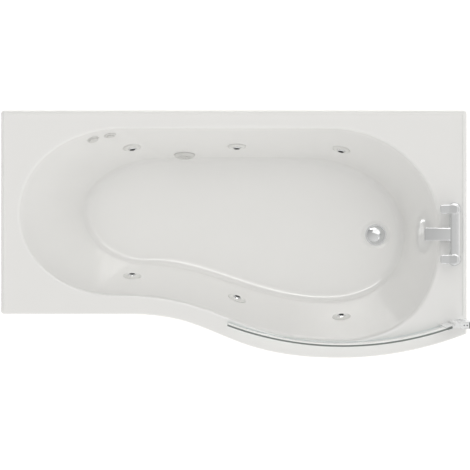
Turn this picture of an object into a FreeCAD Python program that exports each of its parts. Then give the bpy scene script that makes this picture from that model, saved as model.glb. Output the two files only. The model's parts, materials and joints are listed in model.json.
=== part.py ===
"""Right-hand P-shaped jetted shower bath: shell, frame, jets, pump, pipes, waste, deck filler and screen.

Millimetres, +Z up. The origin is on the floor under the middle of the rim rectangle. +X is the tap end,
+Y the wall side and -Y the bowed front.
"""

import FreeCAD
import Part
import math
import os
from collections import namedtuple

Vector = FreeCAD.Vector

# Bath in plan; the S's pull is a share of its length
BATH_LENGTH = 1600.0
WIDE_WIDTH = 850.0
NARROW_WIDTH = 700.0
BOW_RADIUS = 1187.0
BOW_FROM_TAP_END = 436.0
S_FROM_FOOT_END = 443.0
S_PULL = 0.43
EDGE_ROUND = 6.0
CORNER_ROUND = 12.0

# Bath in height
RIM_HEIGHT = 560.0
BOWL_DEPTH = 410.0
SHELL_WALL = 5.0
LIP_DEPTH = 40.0
MOUTH_ROUND = 10.0
COVE_ROUND = 34.0

# Deck widths round the mouth, and how far each wall leans in from mouth to floor
FOOT_DECK = 63.0
TAP_DECK = 94.0
BACK_DECK = 61.0
NARROW_DECK = 66.0
BOW_DECK = 60.0
FOOT_RUN = 225.0
TAP_RUN = 121.0
BACK_RUN = 106.0
NARROW_RUN = 111.0
BOW_RUN = 137.0
FOOT_END_Y = 75.0
TAP_END_Y = 6.0

# Bowl outline at the mouth and at the floor: where its straight back and its S begin, measured from the
# nearer end of that outline, and how full its curves are
MOUTH_BACK_FROM_FOOT = 357.0
MOUTH_BACK_FROM_TAP = 376.0
MOUTH_S_FROM_FOOT = 337.0
MOUTH_S_FROM_TAP = 333.0
MOUTH_PULL_WIDE = 0.505
MOUTH_PULL_NARROW = 0.495
MOUTH_FULL_WIDE = 0.64
MOUTH_FULL_FOOT = 0.57
FLOOR_BACK_FROM_FOOT = 282.0
FLOOR_BACK_FROM_TAP = 355.0
FLOOR_S_FROM_FOOT = 212.0
FLOOR_S_FROM_TAP = 270.0
FLOOR_PULL_WIDE = 0.38
FLOOR_PULL_NARROW = 0.34
FLOOR_FULL_WIDE = 0.62
FLOOR_FULL_FOOT = 0.52
BACK_CORNER_FULL = 0.56

# Tile bead on the three wall sides
BEAD_INSET = 8.0
BEAD_WIDTH = 7.0
BEAD_HEIGHT = 3.0
BEAD_ROUND = 2.4

# Fits: running clearance, seal thickness, how deep a seal is drawn before the wall trims it, how far a seal
# stands in from a flange's edge, how far a cut or a joined block runs past the face it meets, and the turn in
# radians below which a pipe's route counts as straight
RUN_GAP = 0.3
SEAL = 2.0
SINK = 3.0
SEAL_SET = 1.0
LAP = 1.0
STRAIGHT = 0.001

# Base board, rails, feet
BOARD = 18.0
BOARD_INSET = 46.0
BOARD_HOLE = 64.0
RAIL_WIDTH = 40.0
RAIL_HEIGHT = 30.0
RAIL_SHEET = 2.5
RAIL_FROM_TAP_END = 405.0
RAIL_FROM_FOOT_END = 465.0
RAIL_BACK_SET = 64.0
RAIL_FRONT_SET = 60.0
FOOT_SET = 18.0
STUD_R = 6.0
STUD_ABOVE = 15.0
NUT_AF = 19.0
NUT_THICK = 10.0
PAD_R = 25.0
PAD_HEIGHT = 14.0
PAD_SOCKET = 6.0
SCREW_R = 2.5
SCREW_HEAD_R = 5.0
SCREW_HEAD = 3.0
SCREW_BITE = 12.0

# Rim battens and wall brackets
BATTEN_WIDTH = 28.0
BATTEN_SET = 6.0
BATTEN_END = 110.0
BATTEN_BELOW_LIP = 1.0
BRACKET_FROM_END = 300.0
BRACKET_WIDTH = 40.0
BRACKET_SHEET = 3.0
BRACKET_DROP = 64.0
BRACKET_HOLE_R = 3.0

# Jets
JET_BELOW_RIM = 235.0
JET_FROM_FOOT_END = 449.0
JET_FROM_TAP_END = 429.0
JET_HOLE_R = 25.0
JET_SLEEVE_R = 24.6
JET_SLEEVE_BACK = 34.0
JET_BEZEL_R = 32.0
JET_BEZEL = 4.2
JET_BEZEL_LIP = 1.0
BALL_R = 19.0
BALL_SET = 6.0
BALL_FRONT = 15.0
BALL_BACK = 13.0
JET_BORE_R = 6.0
JET_BORE_MOUTH_R = 9.5
JET_NUT_R = 33.0
JET_NUT = 10.0
JET_NUT_FLATS = 8
JET_NUT_FLAT = 2.0
JET_BODY_R = 30.0
JET_BODY_BACK = 58.0
JET_TAP_BACK = 44.0
WATER_SPIGOT_R = 13.0
WATER_SPIGOT = 45.0
AIR_SPIGOT_R = 7.0
AIR_SPIGOT = 42.0

# Suction
SUCTION_ABOVE_FLOOR = 64.0
SUCTION_HOLE_R = 25.0
SUCTION_SLEEVE_R = 24.6
SUCTION_BORE_R = 15.0
SUCTION_FLANGE_R = 31.0
SUCTION_FLANGE = 2.4
SUCTION_TAIL = 45.0
GRILLE_R = 36.0
GRILLE_HEIGHT = 8.0
GRILLE_SHEET = 2.6
GRILLE_SLOTS = 10
GRILLE_SLOT = 4.0

# Air control and on/off button
CONTROL_FROM_FOOT = 316.0
CONTROL_PITCH = 58.0
CONTROL_BELOW_RIM = 68.0
CONTROL_R = 20.0
CONTROL_FLANGE = 2.4
CONTROL_BEVEL = 1.6
CONTROL_SLEEVE_R = 13.6
CONTROL_HOLE_R = 14.0
CONTROL_TAIL = 32.0
CONTROL_NUT = 7.0
KNOB_R = 17.0
KNOB_HEIGHT = 4.5
KNOB_TAPER = 0.5
KNOB_BEVEL = 1.5
KNOB_FLUTES = 14
KNOB_FLUTE_R = 1.6
KNOB_STEM_R = 6.0
KNOB_STEM = 24.0
CAP_R = 11.5
CAP_PROUD = 3.4
CAP_DEEP = 5.0
CAP_BEVEL = 1.5
BELLOWS_R = 9.0
BELLOWS_WALL = 1.0
BELLOWS_FOLD = 2.2
BELLOWS_FOLDS = 4
BUTTON_FLOOR = 24.0
BARB_R = 3.0
BARB = 12.0

# Water and air pipes
WATER_BELOW_JET = 85.0
WATER_R = 16.0
WATER_WALL = 2.5
WATER_BEND = 60.0
AIR_ABOVE_JET = 65.0
AIR_R = 8.0
AIR_WALL = 1.5
AIR_BEND = 50.0
PIPE_END = 24.0
PIPE_JOIN_FROM_FOOT = 225.0
AIR_FOOT_SET = 55.0
SUCTION_PIPE_R = 18.0
SUCTION_PIPE_WALL = 2.5
SUCTION_BEND = 25.0
SUCTION_RUN = 32.0

# Pump and its tray
PUMP_FROM_FOOT = 160.0
PUMP_REAR_Y = -110.0
TRAY_Z = 36.0
TRAY_SHEET = 2.5
TRAY_FROM_FOOT = 62.0
TRAY_FRONT = -140.0
TRAY_BACK = 170.0
TRAY_FOLD = 17.0
TRAY_FOOT_SET = 25.0
TRAY_BOLT_R = 3.0
TRAY_BOLT_UP = 10.0
MOUNT_R = 11.0
MOUNT_HEIGHT = 12.0
FOOT_PLATE = 3.0
FOOT_PLATE_X = 110.0
FOOT_PLATE_Y = 130.0
FOOT_SADDLE = 14.0
AXIS_ABOVE_PLATE = 70.0
MOTOR_R = 58.0
MOTOR_FIN_R = 66.0
MOTOR_FINS = 24
MOTOR_FIN = 2.6
MOTOR_LENGTH = 170.0
SHAFT_R = 7.0
COWL_R = 68.0
COWL_LENGTH = 45.0
COWL_SHEET = 2.0
COWL_SLOTS = 8
COWL_SLOT = 8.0
FAN_R = 50.0
FAN_WIDTH = 18.0
FAN_BLADES = 7
FAN_BLADE = 2.0
VOLUTE_R = 72.0
VOLUTE_LENGTH = 60.0
VOLUTE_WALL = 12.0
VOLUTE_BACK_BEVEL = 6.0
VOLUTE_FRONT_BEVEL = 14.0
IMPELLER_R = 48.0
IMPELLER_DISC = 4.0
IMPELLER_DEPTH = 14.0
IMPELLER_VANES = 6
IMPELLER_VANE = 3.0
INLET_R = 24.0
INLET_LENGTH = 30.0
OUTLET_R = 20.0
OUTLET_TAIL_R = 14.5
OUTLET_ABOVE = 88.0
UNION_R = 29.0
UNION = 24.0
BOX_X = 46.0
BOX_Y = 100.0
BOX_Z = 66.0
GLAND_R = 9.0
GLAND_BORE_R = 4.0
GLAND = 18.0

# Waste, trap and overflow
WASTE_FROM_TAP_END = 309.0
WASTE_Y = -2.0
DISH_R = 51.0
DISH_FLAT_R = 40.0
DISH_DEPTH = 4.0
WASTE_HOLE_R = 25.0
WASTE_FLANGE_R = 36.0
WASTE_FLANGE = 2.6
WASTE_SLEEVE_R = 23.6
WASTE_BORE_R = 20.5
WASTE_SLEEVE = 26.0
WASTE_BODY_R = 36.0
WASTE_BODY = 46.0
SPIDER = 4.0
SPIDER_ARM = 5.0
SPIDER_HUB_R = 8.5
STEM_R = 5.0
PLUG_R = 32.0
PLUG_RISE = 8.0
PLUG_EDGE = 2.0
PLUG_LIFT = 12.0
TAIL_R = 20.0
TAIL = 24.0
TRAP_WALL = 2.5
TRAP_NUT_R = 29.0
TRAP_BEND = 27.0
TRAP_BETWEEN_BENDS = 6.0
TRAP_DIP = 37.0
TRAP_RISE = 64.0
TRAP_RUN = 100.0
OVERFLOW_BELOW_RIM = 72.0
OVERFLOW_COVER_R = 20.0
OVERFLOW_COVER = 7.0
OVERFLOW_SHEET = 2.0
OVERFLOW_POST_R = 3.0
OVERFLOW_SOCKET_R = 5.5
OVERFLOW_HOLE_R = 14.5
OVERFLOW_NECK_R = 14.0
OVERFLOW_BORE_R = 11.5
OVERFLOW_HEAD_R = 27.0
OVERFLOW_HEAD_BACK = 44.0
OVERFLOW_SPIGOT_BACK = 27.0
OVERFLOW_SPIGOT = 42.0
OVERFLOW_PIPE_R = 16.0
OVERFLOW_PIPE_WALL = 2.0
OVERFLOW_BEND = 60.0
OVERFLOW_LEAD = 40.0
SIDE_SPIGOT = 22.0

# Deck filler
TAP_FROM_END = 43.0
TAP_CENTRES = 172.0
TAP_HOLE_R = 14.0
SHANK_R = 12.9
TAIL_THREAD_R = 13.2
TAIL_THREAD = 42.0
TAP_WASHER_R = 21.0
TAP_WASHER = 3.0
TAP_NUT_AF = 36.0
TAP_NUT = 10.0
BASE_RING_R = 23.0
BASE_RING = 9.0
BASE_RING_BEVEL = 3.0
PILLAR_R = 18.0
PILLAR_TOP = 60.0
BAR_WIDTH = 34.0
BAR_BOTTOM = 26.0
BAR_TOP = 57.0
BAR_ROUND = 8.0
SPOUT_REACH = 104.0
SPOUT_WIDTH = 44.0
SPOUT_THICK = 15.0
SPOUT_LIP = 8.0
SPOUT_FALL = 14.0
SPOUT_FLAT = 52.0
SPOUT_SLOT = 10.0
SPOUT_SLOT_SET = 3.0
CARTRIDGE_R = 12.0
CARTRIDGE_DEEP = 22.0
COLLAR_R = 15.0
COLLAR = 6.0
LEVER_FRONT = 49.0
LEVER_REAR = 10.0
LEVER_WIDTH = 30.0
LEVER_THICK = 11.0
LEVER_ROUND = 8.0
LEVER_EDGE = 2.5
LEVER_GAP = 0.5
SPINDLE_R = 4.0
SPINDLE = 18.0

# Screen
SCREEN_HEIGHT = 1400.0
GLASS = 6.0
GLASS_RADIUS = 1102.0
GLASS_WIDTH = 766.0
GLASS_CREST_FROM_TAP_END = 436.0
GLASS_SETBACK = 52.0
GLASS_ABOVE_DECK = 14.0
HINGE_FROM_WALL = 53.0
KNUCKLE_R = 8.0
KNUCKLE_WALL = 2.7
KNUCKLE_OPEN_FROM = 150.0
KNUCKLE_OPEN_TO = 310.0
NECK = 5.0
JAW_FROM_AXIS = 13.0
JAW_DEPTH = 24.0
JAW_FLOOR = 4.0
JAW_WIDTH = 14.0
GASKET = 1.6
PROFILE_FROM_AXIS = 15.0
PROFILE_DEPTH = 24.0
PROFILE_WIDTH = 19.2
PROFILE_WEB = 8.0
PORT_R = 2.1
PORT_PITCH = 10.0
CHANNEL_DEPTH = 32.0
CHANNEL_WIDTH = 25.0
CHANNEL_SHEET = 2.4
CHANNEL_HOLE_R = 2.5
CHANNEL_HOLE_PITCH = 380.0
SIDE_SCREW_R = 1.8
SIDE_SCREW_HEAD_R = 3.6
SIDE_SCREW_HEAD = 2.2
SIDE_SCREWS = 3
BUSH = 2.0
SEAL_WIDTH = 10.0
SEAL_GRIP = 8.0
SEAL_FIN = 2.0
DECK_GAP = 0.6

# Values that follow from the ones above
HALF_LENGTH = BATH_LENGTH / 2
HALF_WIDTH = WIDE_WIDTH / 2
FLOOR_Z = RIM_HEIGHT - BOWL_DEPTH
UNDER_Z = FLOOR_Z - SHELL_WALL
LIP_Z = RIM_HEIGHT - LIP_DEPTH
BOARD_Z = UNDER_Z - BOARD
RAIL_Z = BOARD_Z - RAIL_HEIGHT
WEB_Z = BOARD_Z - RAIL_SHEET
NARROW_Y = HALF_WIDTH - NARROW_WIDTH
DECK_UNDER = RIM_HEIGHT - SHELL_WALL
DISH_Z = FLOOR_Z - DISH_DEPTH
BOSS_Z = DISH_Z - SHELL_WALL
TRAY_TOP = TRAY_Z + TRAY_SHEET
PLATE_Z = TRAY_TOP + MOUNT_HEIGHT
PUMP_Z = PLATE_Z + FOOT_PLATE + AXIS_ABOVE_PLATE
VOLUTE_Y = PUMP_REAR_Y + MOTOR_LENGTH
INLET_Y = VOLUTE_Y + VOLUTE_LENGTH + INLET_LENGTH
OUTLET_Y = VOLUTE_Y + VOLUTE_LENGTH / 2
TAP_X = HALF_LENGTH - TAP_FROM_END
WASTE_X = HALF_LENGTH - WASTE_FROM_TAP_END
PUMP_X = PUMP_FROM_FOOT - HALF_LENGTH
PIPE_JOIN_X = PIPE_JOIN_FROM_FOOT - HALF_LENGTH
TRAY_END = HALF_LENGTH - TRAY_FROM_FOOT
BRACKET_X = HALF_LENGTH - BRACKET_FROM_END
JET_PITCH = (BATH_LENGTH - JET_FROM_FOOT_END - JET_FROM_TAP_END) / 2
JET_MIDDLE_X = JET_FROM_FOOT_END + JET_PITCH - HALF_LENGTH
SUCTION_X = JET_MIDDLE_X - JET_PITCH / 2
AIR_CONTROL_X = CONTROL_FROM_FOOT - HALF_LENGTH
BUTTON_X = AIR_CONTROL_X + CONTROL_PITCH
JET_Z = RIM_HEIGHT - JET_BELOW_RIM
SUCTION_Z = FLOOR_Z + SUCTION_ABOVE_FLOOR
CONTROL_Z = RIM_HEIGHT - CONTROL_BELOW_RIM
OVERFLOW_Z = RIM_HEIGHT - OVERFLOW_BELOW_RIM
WATER_Z = JET_Z - WATER_BELOW_JET
AIR_Z = JET_Z + AIR_ABOVE_JET
BATTEN_Z = LIP_Z - BATTEN_BELOW_LIP
HINGE_X = HALF_LENGTH - HINGE_FROM_WALL
GLASS_X = HALF_LENGTH - GLASS_CREST_FROM_TAP_END
GLASS_Y = GLASS_SETBACK - HALF_WIDTH + GLASS_RADIUS
HINGE_ANGLE = math.asin((HINGE_X - GLASS_X) / GLASS_RADIUS)
HINGE_Y = GLASS_Y - GLASS_RADIUS * math.cos(HINGE_ANGLE)
SCREEN_TOP = RIM_HEIGHT + SCREEN_HEIGHT

Outline = namedtuple(
    "Outline",
    "left right back narrow wide back_left back_right narrow_x wide_x "
    "pull_wide pull_narrow full_wide full_foot",
)
Seat = namedtuple("Seat", "origin across up inward")


# Small shape helpers

def cylinder(radius, low, high, x=0.0, y=0.0):
    """An upright round bar between two heights."""
    return Part.makeCylinder(radius, high - low, Vector(x, y, low))


def ring(outer, inner, low, high, x=0.0, y=0.0):
    """An upright ring between two heights."""
    return cylinder(outer, low, high, x, y).cut(cylinder(inner, low, high, x, y))


def block(x0, x1, y0, y1, z0, z1):
    """A box between two corners."""
    return Part.makeBox(x1 - x0, y1 - y0, z1 - z0, Vector(x0, y0, z0))


def fuse(shapes):
    """One solid out of several that touch."""
    return shapes[0].multiFuse(shapes[1:]).removeSplitter()


def revolve(profile):
    """A turned solid about local Z from a closed outline of (radius, height) corners."""
    corners = [Vector(r, 0, z) for r, z in profile]
    face = Part.Face(Part.makePolygon(corners + corners[:1]))
    return face.revolve(Vector(0, 0, 0), Vector(0, 0, 1), 360)


def hexagon(across_flats, low, high, x=0.0, y=0.0, bore=0.0):
    """A six-sided nut."""
    reach = across_flats / 2 / math.cos(math.pi / 6)
    corners = [
        Vector(x + reach * math.cos(k * math.pi / 3), y + reach * math.sin(k * math.pi / 3), low)
        for k in range(7)
    ]
    nut = Part.Face(Part.makePolygon(corners)).extrude(Vector(0, 0, high - low))
    return nut.cut(cylinder(bore, low, high, x, y)) if bore else nut


def prism(corners, low, high):
    """An upright prism from plan corners."""
    points = [Vector(x, y, low) for x, y in corners]
    return Part.Face(Part.makePolygon(points + points[:1])).extrude(Vector(0, 0, high - low))


def place(shape, seat):
    """A copy of a locally drawn shape, set into a seat (local Z is the seat's inward direction)."""
    a, u, n, p = seat.across, seat.up, seat.inward, seat.origin
    matrix = FreeCAD.Matrix(a.x, u.x, n.x, p.x, a.y, u.y, n.y, p.y, a.z, u.z, n.z, p.z, 0, 0, 0, 1)
    moved = shape.copy()
    moved.Placement = FreeCAD.Placement(matrix)
    return moved


def along(seat, distance):
    """The point on a seat's axis at a distance into the bath."""
    return seat.origin + seat.inward * distance


def round_face(radius, wall, at, heading):
    """A pipe's cross-section: a disc, or a ring where a wall is given."""
    circles = [Part.Wire([Part.makeCircle(radius, at, heading)])]
    if wall:
        circles.append(Part.Wire([Part.makeCircle(radius - wall, at, heading)]))
    return Part.makeFace(circles, "Part::FaceMakerBullseye")


def swept_pipe(points, bend, radius, wall=0.0):
    """A round bar or tube through a route: straight runs joined by tangent bends."""
    pieces = []
    start = points[0]
    for before, corner, after in zip(points, points[1:], points[2:]):
        come = (corner - before).normalize()
        go = (after - corner).normalize()
        turn = come.getAngle(go)
        if turn < STRAIGHT:
            continue
        trim = bend * math.tan(turn / 2)
        first = corner - come * trim
        axis = come.cross(go).normalize()
        section = round_face(radius, wall, first, come)
        pieces.append(section.extrude(start - first))
        pieces.append(section.revolve(first + axis.cross(come) * bend, axis, math.degrees(turn)))
        start = corner + go * trim
    heading = (points[-1] - start).normalize()
    pieces.append(round_face(radius, wall, start, heading).extrude(points[-1] - start))
    return fuse(pieces)


def flat_edges(shape, z):
    """The edges of a shape that lie at one height."""
    return [e for e in shape.Edges if abs(e.BoundBox.ZMin - z) < 1e-4 and abs(e.BoundBox.ZMax - z) < 1e-4]


def upright_edges(shape):
    """The edges of a shape that stand upright."""
    return [e for e in shape.Edges if e.BoundBox.XLength < 1e-4 and e.BoundBox.YLength < 1e-4]


# Shell

def mouth_outline(grow):
    """The bowl's outline at the rim, grown outwards."""
    left = -HALF_LENGTH + FOOT_DECK
    right = HALF_LENGTH - TAP_DECK
    return Outline(
        left=left - grow,
        right=right + grow,
        back=HALF_WIDTH - BACK_DECK + grow,
        narrow=NARROW_Y + NARROW_DECK - grow,
        wide=-HALF_WIDTH + BOW_DECK - grow,
        back_left=left + MOUTH_BACK_FROM_FOOT,
        back_right=right - MOUTH_BACK_FROM_TAP,
        narrow_x=left + MOUTH_S_FROM_FOOT,
        wide_x=right - MOUTH_S_FROM_TAP,
        pull_wide=MOUTH_PULL_WIDE,
        pull_narrow=MOUTH_PULL_NARROW,
        full_wide=MOUTH_FULL_WIDE,
        full_foot=MOUTH_FULL_FOOT,
    )


def floor_outline(grow):
    """The bowl's outline at the floor before the cove is rounded, grown outwards."""
    left = -HALF_LENGTH + FOOT_DECK + FOOT_RUN
    right = HALF_LENGTH - TAP_DECK - TAP_RUN
    return Outline(
        left=left - grow,
        right=right + grow,
        back=HALF_WIDTH - BACK_DECK - BACK_RUN + grow,
        narrow=NARROW_Y + NARROW_DECK + NARROW_RUN - grow,
        wide=-HALF_WIDTH + BOW_DECK + BOW_RUN - grow,
        back_left=left + FLOOR_BACK_FROM_FOOT,
        back_right=right - FLOOR_BACK_FROM_TAP,
        narrow_x=left + FLOOR_S_FROM_FOOT,
        wide_x=right - FLOOR_S_FROM_TAP,
        pull_wide=FLOOR_PULL_WIDE,
        pull_narrow=FLOOR_PULL_NARROW,
        full_wide=FLOOR_FULL_WIDE,
        full_foot=FLOOR_FULL_FOOT,
    )


def outline_poles(o):
    """Control points of the six tangent edges of a bowl outline, clockwise from the back edge."""
    quarter = BACK_CORNER_FULL
    span = o.wide_x - o.narrow_x
    return [
        [(o.back_left, o.back), (o.back_right, o.back)],
        [
            (o.back_right, o.back),
            (o.back_right + quarter * (o.right - o.back_right), o.back),
            (o.right, TAP_END_Y + quarter * (o.back - TAP_END_Y)),
            (o.right, TAP_END_Y),
        ],
        [
            (o.right, TAP_END_Y),
            (o.right, TAP_END_Y - o.full_wide * (TAP_END_Y - o.wide)),
            (o.wide_x + o.full_wide * (o.right - o.wide_x), o.wide),
            (o.wide_x, o.wide),
        ],
        [
            (o.wide_x, o.wide),
            (o.wide_x - o.pull_wide * span, o.wide),
            (o.narrow_x + o.pull_narrow * span, o.narrow),
            (o.narrow_x, o.narrow),
        ],
        [
            (o.narrow_x, o.narrow),
            (o.narrow_x - o.full_foot * (o.narrow_x - o.left), o.narrow),
            (o.left, FOOT_END_Y - o.full_foot * (FOOT_END_Y - o.narrow)),
            (o.left, FOOT_END_Y),
        ],
        [
            (o.left, FOOT_END_Y),
            (o.left, FOOT_END_Y + quarter * (o.back - FOOT_END_Y)),
            (o.back_left - quarter * (o.back_left - o.left), o.back),
            (o.back_left, o.back),
        ],
    ]


def bowl_wire(z, grow):
    """The bowl's outline at a height, blended straight between floor and mouth."""
    share = (z - FLOOR_Z) / BOWL_DEPTH
    edges = []
    for low, high in zip(outline_poles(floor_outline(grow)), outline_poles(mouth_outline(grow))):
        poles = [
            Vector(a[0] + share * (b[0] - a[0]), a[1] + share * (b[1] - a[1]), z)
            for a, b in zip(low, high)
        ]
        curve = Part.BezierCurve()
        curve.setPoles(poles)
        edges.append(curve.toShape())
    return Part.Wire(edges)


def bowl_solid(low, high, grow, cove):
    """The bowl as a solid between two heights, its bottom edge rounded."""
    solid = Part.makeLoft([bowl_wire(low, grow), bowl_wire(high, grow)], True, True)
    return solid.makeFillet(cove, flat_edges(solid, low))


def deck_wire(z, inset):
    """The rim's outline: three straight wall sides, the bow, the S and the narrow front."""
    left = -HALF_LENGTH + inset
    right = HALF_LENGTH - inset
    back = HALF_WIDTH - inset
    narrow = NARROW_Y + inset
    wide = -HALF_WIDTH + inset
    bow_x = HALF_LENGTH - BOW_FROM_TAP_END
    bow_y = -HALF_WIDTH + BOW_RADIUS
    radius = BOW_RADIUS - inset
    turn = math.asin((right - bow_x) / radius)
    s_x = -HALF_LENGTH + S_FROM_FOOT_END
    bow_end = Vector(right, bow_y - radius * math.cos(turn), z)
    bow_mid = Vector(bow_x + radius * math.sin(turn / 2), bow_y - radius * math.cos(turn / 2), z)
    crest = Vector(bow_x, wide, z)
    s_end = Vector(s_x, narrow, z)
    pull_x = s_x + S_PULL * (bow_x - s_x)
    curve = Part.BezierCurve()
    curve.setPoles([crest, Vector(pull_x, wide, z), Vector(pull_x, narrow, z), s_end])
    corners = [Vector(left, narrow, z), Vector(left, back, z), Vector(right, back, z)]
    return Part.Wire([
        Part.makeLine(s_end, corners[0]),
        Part.makeLine(corners[0], corners[1]),
        Part.makeLine(corners[1], corners[2]),
        Part.makeLine(corners[2], bow_end),
        Part.Arc(bow_end, bow_mid, crest).toShape(),
        curve.toShape(),
    ])


def deck_slab(low, high, inset, corner):
    """The rim's outline as an upright slab with rounded corners."""
    slab = Part.Face(deck_wire(low, inset)).extrude(Vector(0, 0, high - low))
    corners = [Vector(x, y, (low + high) / 2) for x, y in deck_corners(inset)]
    edges = [
        e for e in upright_edges(slab)
        if min(e.CenterOfMass.distanceToPoint(c) for c in corners) < CORNER_ROUND
    ]
    return slab.makeFillet(corner, edges)


def deck_corners(inset):
    """The four corners of the rim's outline in plan."""
    right = HALF_LENGTH - inset
    radius = BOW_RADIUS - inset
    reach = right - (HALF_LENGTH - BOW_FROM_TAP_END)
    bow_y = -HALF_WIDTH + BOW_RADIUS - math.sqrt(radius ** 2 - reach ** 2)
    back = HALF_WIDTH - inset
    return [(-right, back), (right, back), (right, bow_y), (-right, NARROW_Y + inset)]


def tile_bead():
    """The low ridge along the three wall sides, stopping short of the front edge and of the screen."""
    outer = BEAD_INSET
    inner = BEAD_INSET + BEAD_WIDTH
    low = DECK_UNDER + SHELL_WALL / 2
    high = RIM_HEIGHT + BEAD_HEIGHT
    left_stop = NARROW_Y + inner
    right_stop = HINGE_Y + CHANNEL_WIDTH
    x0 = -HALF_LENGTH + outer
    x1 = HALF_LENGTH - outer
    y1 = HALF_WIDTH - outer
    ridge = prism(
        [
            (x0, left_stop), (x0, y1), (x1, y1), (x1, right_stop),
            (x1 - BEAD_WIDTH, right_stop), (x1 - BEAD_WIDTH, y1 - BEAD_WIDTH),
            (x0 + BEAD_WIDTH, y1 - BEAD_WIDTH), (x0 + BEAD_WIDTH, left_stop),
        ],
        low,
        high,
    )
    return ridge.makeFillet(BEAD_ROUND, flat_edges(ridge, high))


def plain_shell(void):
    """The shell before any hole is drilled."""
    deck = deck_slab(LIP_Z, RIM_HEIGHT, 0.0, CORNER_ROUND)
    deck = deck.makeFillet(EDGE_ROUND, flat_edges(deck, RIM_HEIGHT))
    under = deck_slab(LIP_Z - LAP, DECK_UNDER, SHELL_WALL, CORNER_ROUND - SHELL_WALL)
    bowl = bowl_solid(UNDER_Z, DECK_UNDER + SHELL_WALL / 2, SHELL_WALL, COVE_ROUND + SHELL_WALL)
    shell = deck.cut(under).fuse(bowl).cut(void)
    rim = [f for f in shell.Faces if abs(f.CenterOfMass.z - RIM_HEIGHT) < 1e-4]
    top = max(rim, key=lambda f: f.Area)
    mouth = [e for w in top.Wires if not w.isSame(top.OuterWire) for e in w.Edges]
    shell = shell.makeFillet(MOUTH_ROUND, mouth).fuse(tile_bead())
    boss = cylinder(DISH_R + SHELL_WALL, BOSS_Z, UNDER_Z + LAP, WASTE_X, WASTE_Y)
    dish = Part.makeCone(DISH_FLAT_R, DISH_R, DISH_DEPTH, Vector(WASTE_X, WASTE_Y, DISH_Z))
    return shell.fuse(boss).cut(dish)


def wall_seat(void, start, heading):
    """Where a line from inside the bowl meets its wall: a seat whose inward points into the bath."""
    reach = void.common(Part.makeLine(start, start + heading * BATH_LENGTH))
    point = max((v.Point for v in reach.Vertexes), key=lambda p: p.distanceToPoint(start))
    face = min(void.Faces, key=lambda f: f.distToShape(Part.Vertex(point))[0])
    inward = face.normalAt(*face.Surface.parameter(point)) * -1
    up = (Vector(0, 0, 1) - inward * inward.z).normalize()
    return Seat(point, up.cross(inward), up, inward)


def jet_names():
    """The six jets: name, side and X."""
    for side, wall in ((1, "back"), (-1, "front")):
        for step, spot in ((-1, "left"), (0, "middle"), (1, "right")):
            yield f"{wall}_{spot}", side, JET_MIDDLE_X + step * JET_PITCH


def wall_seats(void):
    """Every fitting's seat on the bowl wall, by name."""
    middle = FOOT_END_Y / 2
    seats = {
        name: wall_seat(void, Vector(x, middle, JET_Z), Vector(0, side, 0)) for name, side, x in jet_names()
    }
    seats["suction"] = wall_seat(void, Vector(SUCTION_X, middle, SUCTION_Z), Vector(0, 1, 0))
    seats["air"] = wall_seat(void, Vector(AIR_CONTROL_X, middle, CONTROL_Z), Vector(0, 1, 0))
    seats["button"] = wall_seat(void, Vector(BUTTON_X, middle, CONTROL_Z), Vector(0, 1, 0))
    seats["overflow"] = wall_seat(void, Vector(0, 0, OVERFLOW_Z), Vector(1, 0, 0))
    return seats


def guide_seats(void):
    """Seats midway between neighbouring jets, which keep the pipes clear of the curved wall."""
    middle = FOOT_END_Y / 2
    guides = {}
    for wall, side in (("back", 1), ("front", -1)):
        for spot, step in (("left", -0.5), ("right", 0.5)):
            start = Vector(JET_MIDDLE_X + step * JET_PITCH, middle, JET_Z)
            guides[f"{wall}_{spot}_guide"] = wall_seat(void, start, Vector(0, side, 0))
    return guides


def drilled_shell(shell, seats):
    """The shell with its fitting holes."""
    radii = {
        "suction": SUCTION_HOLE_R,
        "air": CONTROL_HOLE_R,
        "button": CONTROL_HOLE_R,
        "overflow": OVERFLOW_HOLE_R,
    }
    deep = 3 * SHELL_WALL
    cuts = [place(cylinder(radii.get(name, JET_HOLE_R), -deep, deep), seat) for name, seat in seats.items()]
    cuts.append(cylinder(WASTE_HOLE_R, BOSS_Z - LAP, FLOOR_Z, WASTE_X, WASTE_Y))
    cuts += [cylinder(TAP_HOLE_R, LIP_Z, RIM_HEIGHT + LAP, TAP_X, y) for y in tap_ys()]
    for cut in cuts:
        shell = shell.cut(cut)
    return shell


def front_seal(shell, seat, outer, inner):
    """A ring between a flange in the bath and the curved wall."""
    seal = place(ring(outer, inner, -SINK, SEAL - RUN_GAP), seat).cut(shell)
    seal.translate(seat.inward * RUN_GAP)
    return seal


def back_seal(shell, seat, outer, inner):
    """A ring between a nut behind the bath and the curved wall."""
    low = -2 * SHELL_WALL + RUN_GAP
    seal = place(ring(outer, inner, low, -SHELL_WALL / 2), seat).cut(shell)
    seal.translate(seat.inward * -RUN_GAP)
    return seal


# Frame under the bath

def rail_xs():
    """The rails' middles, foot end first."""
    first = RAIL_FROM_FOOT_END - HALF_LENGTH
    last = HALF_LENGTH - RAIL_FROM_TAP_END
    return [first, (first + last) / 2, last]


def rail_span(x):
    """A rail's front and back end."""
    mouth = bowl_wire(RIM_HEIGHT, 0.0)
    cut = Part.makeLine(Vector(x, -BATH_LENGTH, RIM_HEIGHT), Vector(x, BATH_LENGTH, RIM_HEIGHT))
    ys = [v.Point.y for v in Part.Face(mouth).common(cut).Vertexes]
    return min(ys) + RAIL_FRONT_SET, max(ys) - RAIL_BACK_SET


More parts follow.
